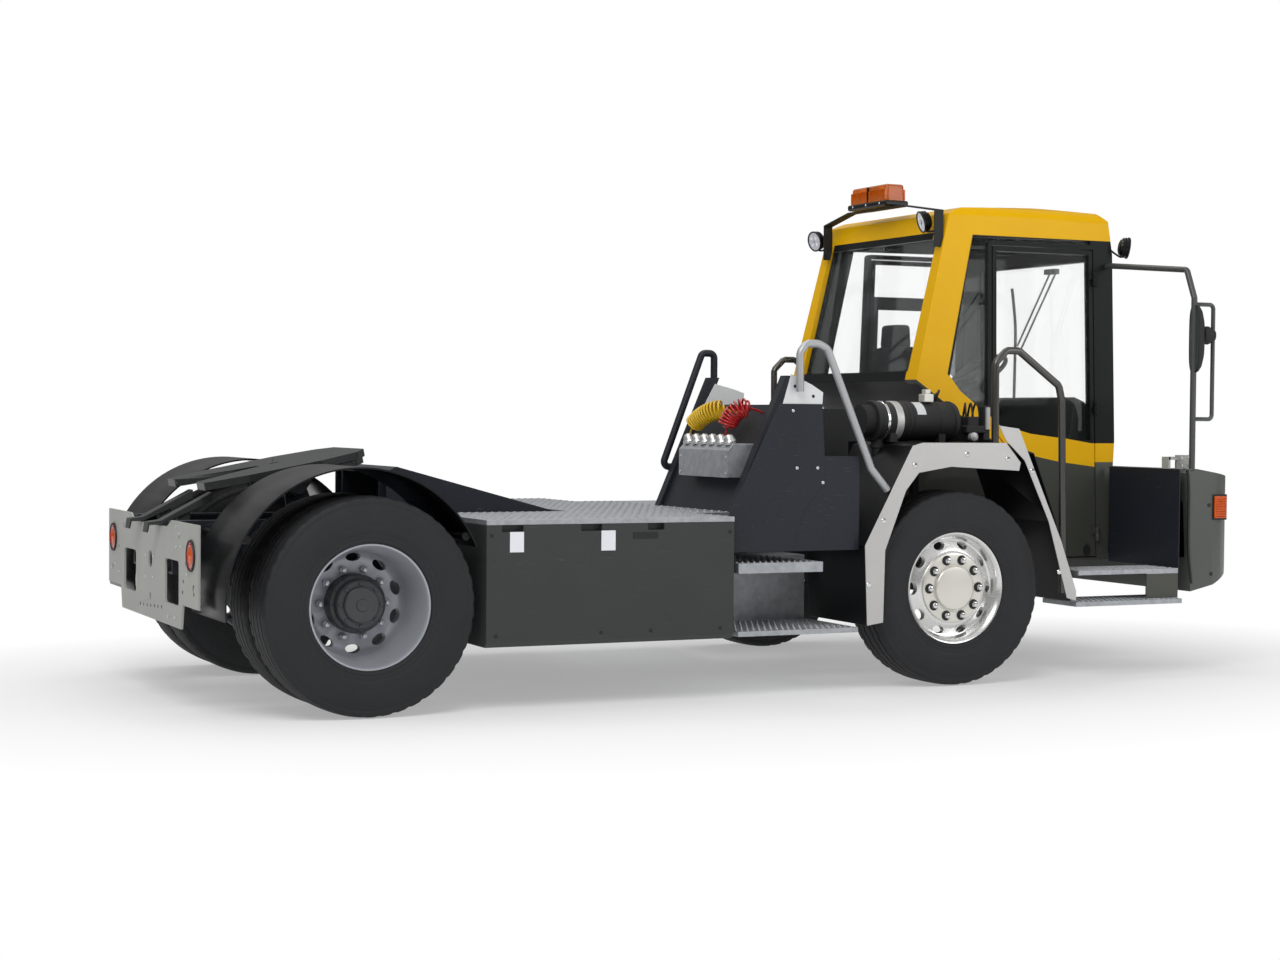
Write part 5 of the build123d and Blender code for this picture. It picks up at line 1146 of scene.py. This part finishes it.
def second_finish(material, corners, colour, rough, metal):
    """Mix another colour, roughness and metal into a finish, inside a zone in side view."""
    tree = material.node_tree
    shader = tree.nodes["Principled BSDF"]
    where = add(tree, "ShaderNodeTexCoord")
    share = inside_lines(tree, where.outputs["Object"], corners)
    base = add(tree, "ShaderNodeMix", [(0, share), (6, shader.inputs["Base Color"].links[0].from_socket)],
               data_type="RGBA")
    base.inputs[7].default_value = tint(*colour)
    dulled = add(tree, "ShaderNodeMix", [(0, share), (2, shader.inputs["Roughness"].links[0].from_socket)])
    dulled.inputs[3].default_value = rough
    shine = add(tree, "ShaderNodeMix", [(0, share)])
    shine.inputs[2].default_value = shader.inputs["Metallic"].default_value
    shine.inputs[3].default_value = metal
    tree.links.new(base.outputs[2], shader.inputs["Base Color"])
    tree.links.new(dulled.outputs[0], shader.inputs["Roughness"])
    tree.links.new(shine.outputs[0], shader.inputs["Metallic"])
    return material


HANGERS = [(4000, 435), (4900, 435), (4900, 572), (4000, 572), (4000, 435)]
step_finish = second_finish(finish("step_metal", (168, 171, 175), rough=0.42, metal=0.6, drift=0.3, dust=0.1,
                                   scale=26,
                                   grain_scale=90, bump=0.06), HANGERS, (66, 68, 62), 0.42, 0.0)
FRONT_RAILS = [(3300, 300), (4300, 300), (4300, 2000), (3300, 2000), (3300, 300)]
rail_finish = second_finish(finish("rail_metal", (172, 174, 176), rough=0.4, metal=0.6, drift=0.06,
                                   grain_scale=300,
                                   bump=0.03), FRONT_RAILS, (84, 84, 82), 0.26, 0.85)
print("finishes now", len(finishes))

# %% [markdown]
# ## Mirrors
# The mirror is a thin dished shell on a ball behind it, turned so that the
# driver sees along the side. Seen from the photograph's place it is nearly
# edge on. It takes the place of the CAD's plain head.

# %% Dished mirror heads
MIRROR_RINGS = [(0.03, 0.048), (0.30, 0.047), (0.62, 0.040), (0.86, 0.026), (0.97, 0.012), (1.0, 0.002),
                (0.985, -0.004), (0.95, -0.005), (0.94, 0.0)]
PANE_RINGS = [(0.9375, 0.002), (0.9375, -0.001)]
MIRROR_HALF_WIDTH, MIRROR_HALF_HEIGHT, MIRROR_CORNERS, MIRROR_POINTS = 0.088, 0.192, 0.55, 48
BALL = [(0.035, 0.001), (0.035, 0.036), (0.05, 0.05), (0.075, 0.052), (0.088, 0.046), (0.094, 0.03),
        (0.116, 0.027), (0.12, 0.001)]


def dished(rings, centre, face_dir, closed):
    """A skin over rounded rectangles, each a share of the mirror's size and so far behind its face."""
    wide = Vector((0, 0, 1)).cross(face_dir).normalized()
    verts = [centre - face_dir * behind_face
             + wide * MIRROR_HALF_WIDTH * share * signed_power(math.cos(a), MIRROR_CORNERS)
             + Vector((0, 0, MIRROR_HALF_HEIGHT * share * signed_power(math.sin(a), MIRROR_CORNERS)))
             for share, behind_face in rings for a in round_about(MIRROR_POINTS)]
    faces = ring_faces(len(rings), MIRROR_POINTS) + [tuple(range(MIRROR_POINTS))]
    return verts, faces + ([tuple(range(MIRROR_POINTS, 2 * MIRROR_POINTS))] if closed else [])


for label, side in SIDES:
    face_dir = Vector((-0.93, -side * 0.36, 0)).normalized()
    middle_place = at(4862, side * 1182, 1888)
    head = piece("mirror_shell_" + label, dished(MIRROR_RINGS, middle_place, face_dir, False), matte_black,
                 sharp=40)
    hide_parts("mirror_heads")
    piece("mirror_pane_" + label, dished(PANE_RINGS, middle_place, face_dir, True), mirror_face)
    piece("mirror_ball_" + label, spun(BALL, middle_place + Vector((0, 0, 0.02)), -face_dir), matte_black)
    foot_y = side * 1095
    foot = [brick(at(4812, foot_y - 6, 1155), at(4944, foot_y + 6, 1232)),
            brick(at(4740, foot_y - 30, 1205), at(4830, foot_y + 30, 1222)),
            brick(at(4738, foot_y - 30, 1155), at(4752, foot_y + 30, 1222))]
    piece("arm_foot_" + label, joined(foot), plate_grey)
    foot_bolts = [at(x, foot_y + side * 6, z) for x in (4850, 4900) for z in (1175, 1215)]
    heads("arm_foot_bolts_" + label, foot_bolts, (0, side, 0), 0.008, 0.006, chrome)
print("mirror ring points", MIRROR_POINTS * len(MIRROR_RINGS))

# %% [markdown]
# ## Wiper, marker lamps, seals and a door vent
# Small things that the eye expects: the parallel-arm wiper that hangs from the
# windscreen's header, the amber marker in each bumper end with a thin dark sheet
# of painted shade for its recessed pocket, a rubber strip down the bumper's rear
# edge, and the door's vent.

# %% Wiper
smooth_line("wiper_blade", [at(4806, 513, 2251), at(4806, 470, 2050), at(4806, 470, 1870),
                            at(4806, 479, 1468)], 0.009, rubber_and_shade)
for i, (top, foot) in enumerate((((4812, 120, 2330), (4812, 455, 1890)),
                                 ((4812, 60, 2330), (4812, 430, 1850)))):
    smooth_line(f"wiper_arm_{i}", [at(*top), at(*[(a + b) / 2 for a, b in zip(top, foot)]), at(*foot)], 0.006,
                matte_black)
piece("wiper_motor", brick(at(4786, 40, 2318), at(4822, 150, 2350)), matte_black)

# %% Marker lamps, bumper strips and vents
for label, side in SIDES:
    y_face = side * 1200
    # The marker's pocket is a thin dark sheet of painted shade round the lens, standing in for the dark
    # recess.
    piece("marker_pocket_shade_" + label, side_sheet(4990, 5094, 866, 1011, y_face, side * 0.002), rubber_and_shade)
    soften(piece("marker_lens_" + label, side_sheet(5000, 5086, 876, 1001, y_face, side * 0.014),
                 orange_lens), 0.006, 3)
    rib_y = y_face + side * 6
    ribs = [brick(at(5006, rib_y - 8, 884 + 14 * i), at(5080, rib_y + 8, 888 + 14 * i)) for i in range(8)]
    piece("marker_ribs_" + label, joined(ribs), amber_lens)
    heads("bumper_screws_" + label, [at(4968, y_face, 950), at(4990, y_face, 560)], (0, side, 0), 0.011,
          0.004, rubber_and_shade, sides=16)
    smooth_line("bumper_strip_" + label, [at(4812, side * 1197, 1150), at(4822, side * 1203, 1100),
                                          at(4820, side * 1203, 800), at(4826, side * 1203, 640),
                                          at(4850, side * 1200, 510)], 0.008, rubber_and_shade)
    oval = [at(4592 + 24 * math.cos(a), wall_y(side, 663), 663 + 36 * math.sin(a)) for a in round_about(32)]
    piece("door_vent_" + label, plate(oval, (0, side * 0.004, 0)), rubber_and_shade, "door_" + label)
print("markers and strips done")

# %% [markdown]
# ## Couplings and the valve cluster
# On the coupling box sit the air couplings under domed caps, and beside the
# filter a small valve stands between its pipes.

# %% Coupling caps and valve
CAP = [(0.0, 0.001), (0.0, 0.034), (0.014, 0.036), (0.024, 0.03), (0.034, 0.028), (0.046, 0.02),
       (0.052, 0.001)]
for i in range(6):
    piece(f"coupling_cap_{i}", spun(CAP, at(2172, -695 + 96 * i, 1286), (-0.3, 0, 1), 28), polished)
heads("coupling_bolts", [at(2130, y, z) for y in (-725, -185) for z in (1125, 1210)], (-1, 0, 0), 0.008,
      0.005, tube_steel)
VALVE_PARTS = [brick(at(3490, -975, 1305), at(3560, -915, 1440)),
               brick(at(3470, -990, 1350), at(3600, -930, 1390)),
               brick(at(3585, -985, 1310), at(3625, -925, 1500))]
soften(piece("valve_body", joined(VALVE_PARTS), matte_black), 0.006)
piece("valve_knob", spun([(0, 0.001), (0, 0.022), (0.03, 0.024), (0.034, 0.018), (0.035, 0.001)],
                         at(3500, -990, 1330), (0, -1, 0), 24), stainless)
piece("valve_tube", spun([(0, 0.001), (0, 0.014), (0.12, 0.014), (0.122, 0.001)], at(3605, -990, 1370),
                         (0, 0, 1), 20), stainless)
for i in range(3):
    smooth_line(f"valve_line_{i}", [at(3495 + 45 * i, -945, 1430), at(3490 + 45 * i, -940, 1500),
                                    at(3520 + 30 * i, -900, 1520), at(3540 + 30 * i, -840, 1420),
                                    at(3545 + 30 * i, -830, 1310)], 0.006, matte_black)
print("couplings done")

# %% [markdown]
# ## Finishes for the CAD's own solids
# Most solids already have the right shape, so they only need their finish and
# softer edges. Real sheet metal and mouldings have no knife edges: a narrow
# bevel on every sharp corner catches the light in a thin line, which is much of
# what makes a model look made rather than drawn.

# %% A finish and a bevel for each CAD node
NODE_LOOKS = {
    # node: (finish, bevel width in millimetres)
    "chassis_frame": (frame_blue, 2), "rear_plate": (plate_grey, 1.5), "ramps": (box_grey, 3),
    "rear_axle": (cast_dark, 3), "front_axle": (cast_dark, 3), "engine": (cast_dark, 4),
    "side_boxes": (box_grey, 4), "steps": (step_finish, 2), "deck": (galvanised, 2), "tower": (frame_blue, 2),
    "coupling_box": (galvanised, 3), "hose_plates": (white_bright, 1), "body_panels": (frame_blue, 1.2),
    "front_fenders": (black_shell, 1.5), "fender_trims": (stainless, 1.2), "rear_fenders": (black_shell, 2),
    "handrails": (rail_finish, 0), "front_bumper": (bumper_grey, 10), "tail_lamps": (matte_black, 3),
    "head_lamps": (white_lens, 3), "mirror_arms": (dark_tube, 0), "mirror_heads": (matte_black, 6),
    "air_cleaner": (matte_black, 4), "beacon_bracket": (matte_black, 1.5), "beacon": (amber_lens, 14),
    "boom": (frame_blue, 3), "fifth_wheel": (greased, 5), "lift_barrels": (cast_dark, 3),
    "lift_rods": (chrome, 2), "cab_body": (cab_paint, 12), "cab_lower": (lower_grey, 6),
    "cab_glass": (cab_pane, 0), "door_right": (cab_paint, 5), "door_left": (cab_paint, 5),
    "door_right_glass": (cab_pane, 0), "door_left_glass": (cab_pane, 0), "seat_cushion": (trim_dark, 0),
    "seat_back": (trim_dark, 0), "seat_base": (trim_dark, 6), "dash": (trim_dark, 12),
    "steering_wheel": (trim_dark, 2), "knuckle_left": (cast_dark, 3), "knuckle_right": (cast_dark, 3),
}


def dress(node, look, width):
    """Give a CAD node its finish, and weld and bevel its edges by modifiers."""
    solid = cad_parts[node]
    solid.data.materials.clear()
    solid.data.materials.append(look)
    weld = solid.modifiers.new("weld", "WELD")
    weld.merge_threshold = 0.00005
    if width:
        soften(solid, width / 1000, segments=3 if width > 8 else 2, angle=32)


for node, (look, width) in NODE_LOOKS.items():
    dress(node, look, width)
print("dressed", len(NODE_LOOKS), "of", len(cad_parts), "CAD nodes")

# %% [markdown]
# ## Floor and light
# The floor and the world are white to the camera, as in the photograph. What
# lights the vehicle is kept apart from that: a soft pale world, a wide lamp
# from the upper left and a weaker one from the right, at a level where a
# colour looks as it is written.

# %% Floor that keeps the shadow and fades to white
floor_mesh = bpy.data.meshes.new("floor")
FLOOR_HALF = 60
floor_mesh.from_pydata([(-FLOOR_HALF, -FLOOR_HALF, 0), (FLOOR_HALF, -FLOOR_HALF, 0),
                        (FLOOR_HALF, FLOOR_HALF, 0),
                        (-FLOOR_HALF, FLOOR_HALF, 0)], [], [(0, 1, 2, 3)])
floor = bpy.data.objects.new("floor", floor_mesh)
floor.location.z = -0.001
bpy.context.scene.collection.objects.link(floor)
floor_look = bpy.data.materials.new("studio_floor")
floor_look.use_nodes = True
tree = floor_look.node_tree
tree.nodes["Principled BSDF"].inputs["Base Color"].default_value = (0.9, 0.9, 0.9, 1)
tree.nodes["Principled BSDF"].inputs["Roughness"].default_value = 0.9
spread = add(tree, "ShaderNodeTexCoord")
oval = add(tree, "ShaderNodeVectorMath", [(0, spread.outputs["Object"])], operation="MULTIPLY")
oval.inputs[1].default_value = (1 / 5.2, 1 / 3.4, 0)
reach = add(tree, "ShaderNodeVectorMath", [(0, oval.outputs[0])], operation="LENGTH")
fade = add(tree, "ShaderNodeMapRange", [(0, reach.outputs["Value"])], in_1=0.55, in_2=1.0, in_3=0.35)
glow = add(tree, "ShaderNodeEmission")
blend = add(tree, "ShaderNodeMixShader", [(0, fade.outputs[0]), (1, tree.nodes["Principled BSDF"].outputs[0]),
                                          (2, glow.outputs[0])])
tree.links.new(blend.outputs[0], tree.nodes["Material Output"].inputs["Surface"])
floor_mesh.materials.append(floor_look)
print("floor of", 2 * FLOOR_HALF, "m")

# %% World: white to the camera, a dim studio with a bright ceiling in reflections, softer as light
LIGHT_LEVEL, DARK_STUDIO = 0.3, 0.16
world = bpy.data.worlds.new("studio")
bpy.context.scene.world = world
world.use_nodes = True
tree = world.node_tree
sky = tree.nodes["Background"]
sky.inputs["Color"].default_value = (1, 1, 1, 1)
path = add(tree, "ShaderNodeLightPath")
seen = add(tree, "ShaderNodeMath", [(0, path.outputs["Is Camera Ray"]),
                                    (1, path.outputs["Is Transmission Ray"])],
           operation="MAXIMUM")
heading = add(tree, "ShaderNodeSeparateXYZ", [(0, add(tree, "ShaderNodeTexCoord").outputs["Generated"])])
overhead = add(tree, "ShaderNodeMapRange", [(0, heading.outputs["Z"])], in_1=0.12, in_2=0.6, in_3=DARK_STUDIO,
               in_4=0.7)
mirrored = add(tree, "ShaderNodeMath", [(0, path.outputs["Is Glossy Ray"]), (1, overhead.outputs[0])],
               operation="MULTIPLY")
diffuse = add(tree, "ShaderNodeMath", [(1, path.outputs["Is Glossy Ray"])], operation="SUBTRACT", in_0=1.0)
plain = add(tree, "ShaderNodeMath", [(0, diffuse.outputs[0]), (2, mirrored.outputs[0])],
            operation="MULTIPLY_ADD",
            in_1=LIGHT_LEVEL)
shown_white = add(tree, "ShaderNodeMath", [(0, seen.outputs[0]), (1, plain.outputs[0])], operation="MAXIMUM")
tree.links.new(shown_white.outputs[0], sky.inputs["Strength"])
print("world light", LIGHT_LEVEL)

# %% Soft lamps


def softbox(name, place, aim, size, watts):
    """A square area lamp that looks at a point."""
    lamp = bpy.data.lights.new(name, "AREA")
    lamp.size, lamp.energy = size, watts
    made = bpy.data.objects.new(name, lamp)
    made.location = place
    made.rotation_euler = (Vector(aim) - Vector(place)).to_track_quat("-Z", "Y").to_euler()
    bpy.context.scene.collection.objects.link(made)


softbox("key_lamp", (-5, -6, 8), (0, 0, 1), 5, 470)
softbox("side_lamp", (6, -7, 4), (1, 0, 1), 4, 150)
softbox("top_lamp", (0, 2, 9), (0, 0, 0), 6, 230)
print("lamps", len(bpy.data.lights))
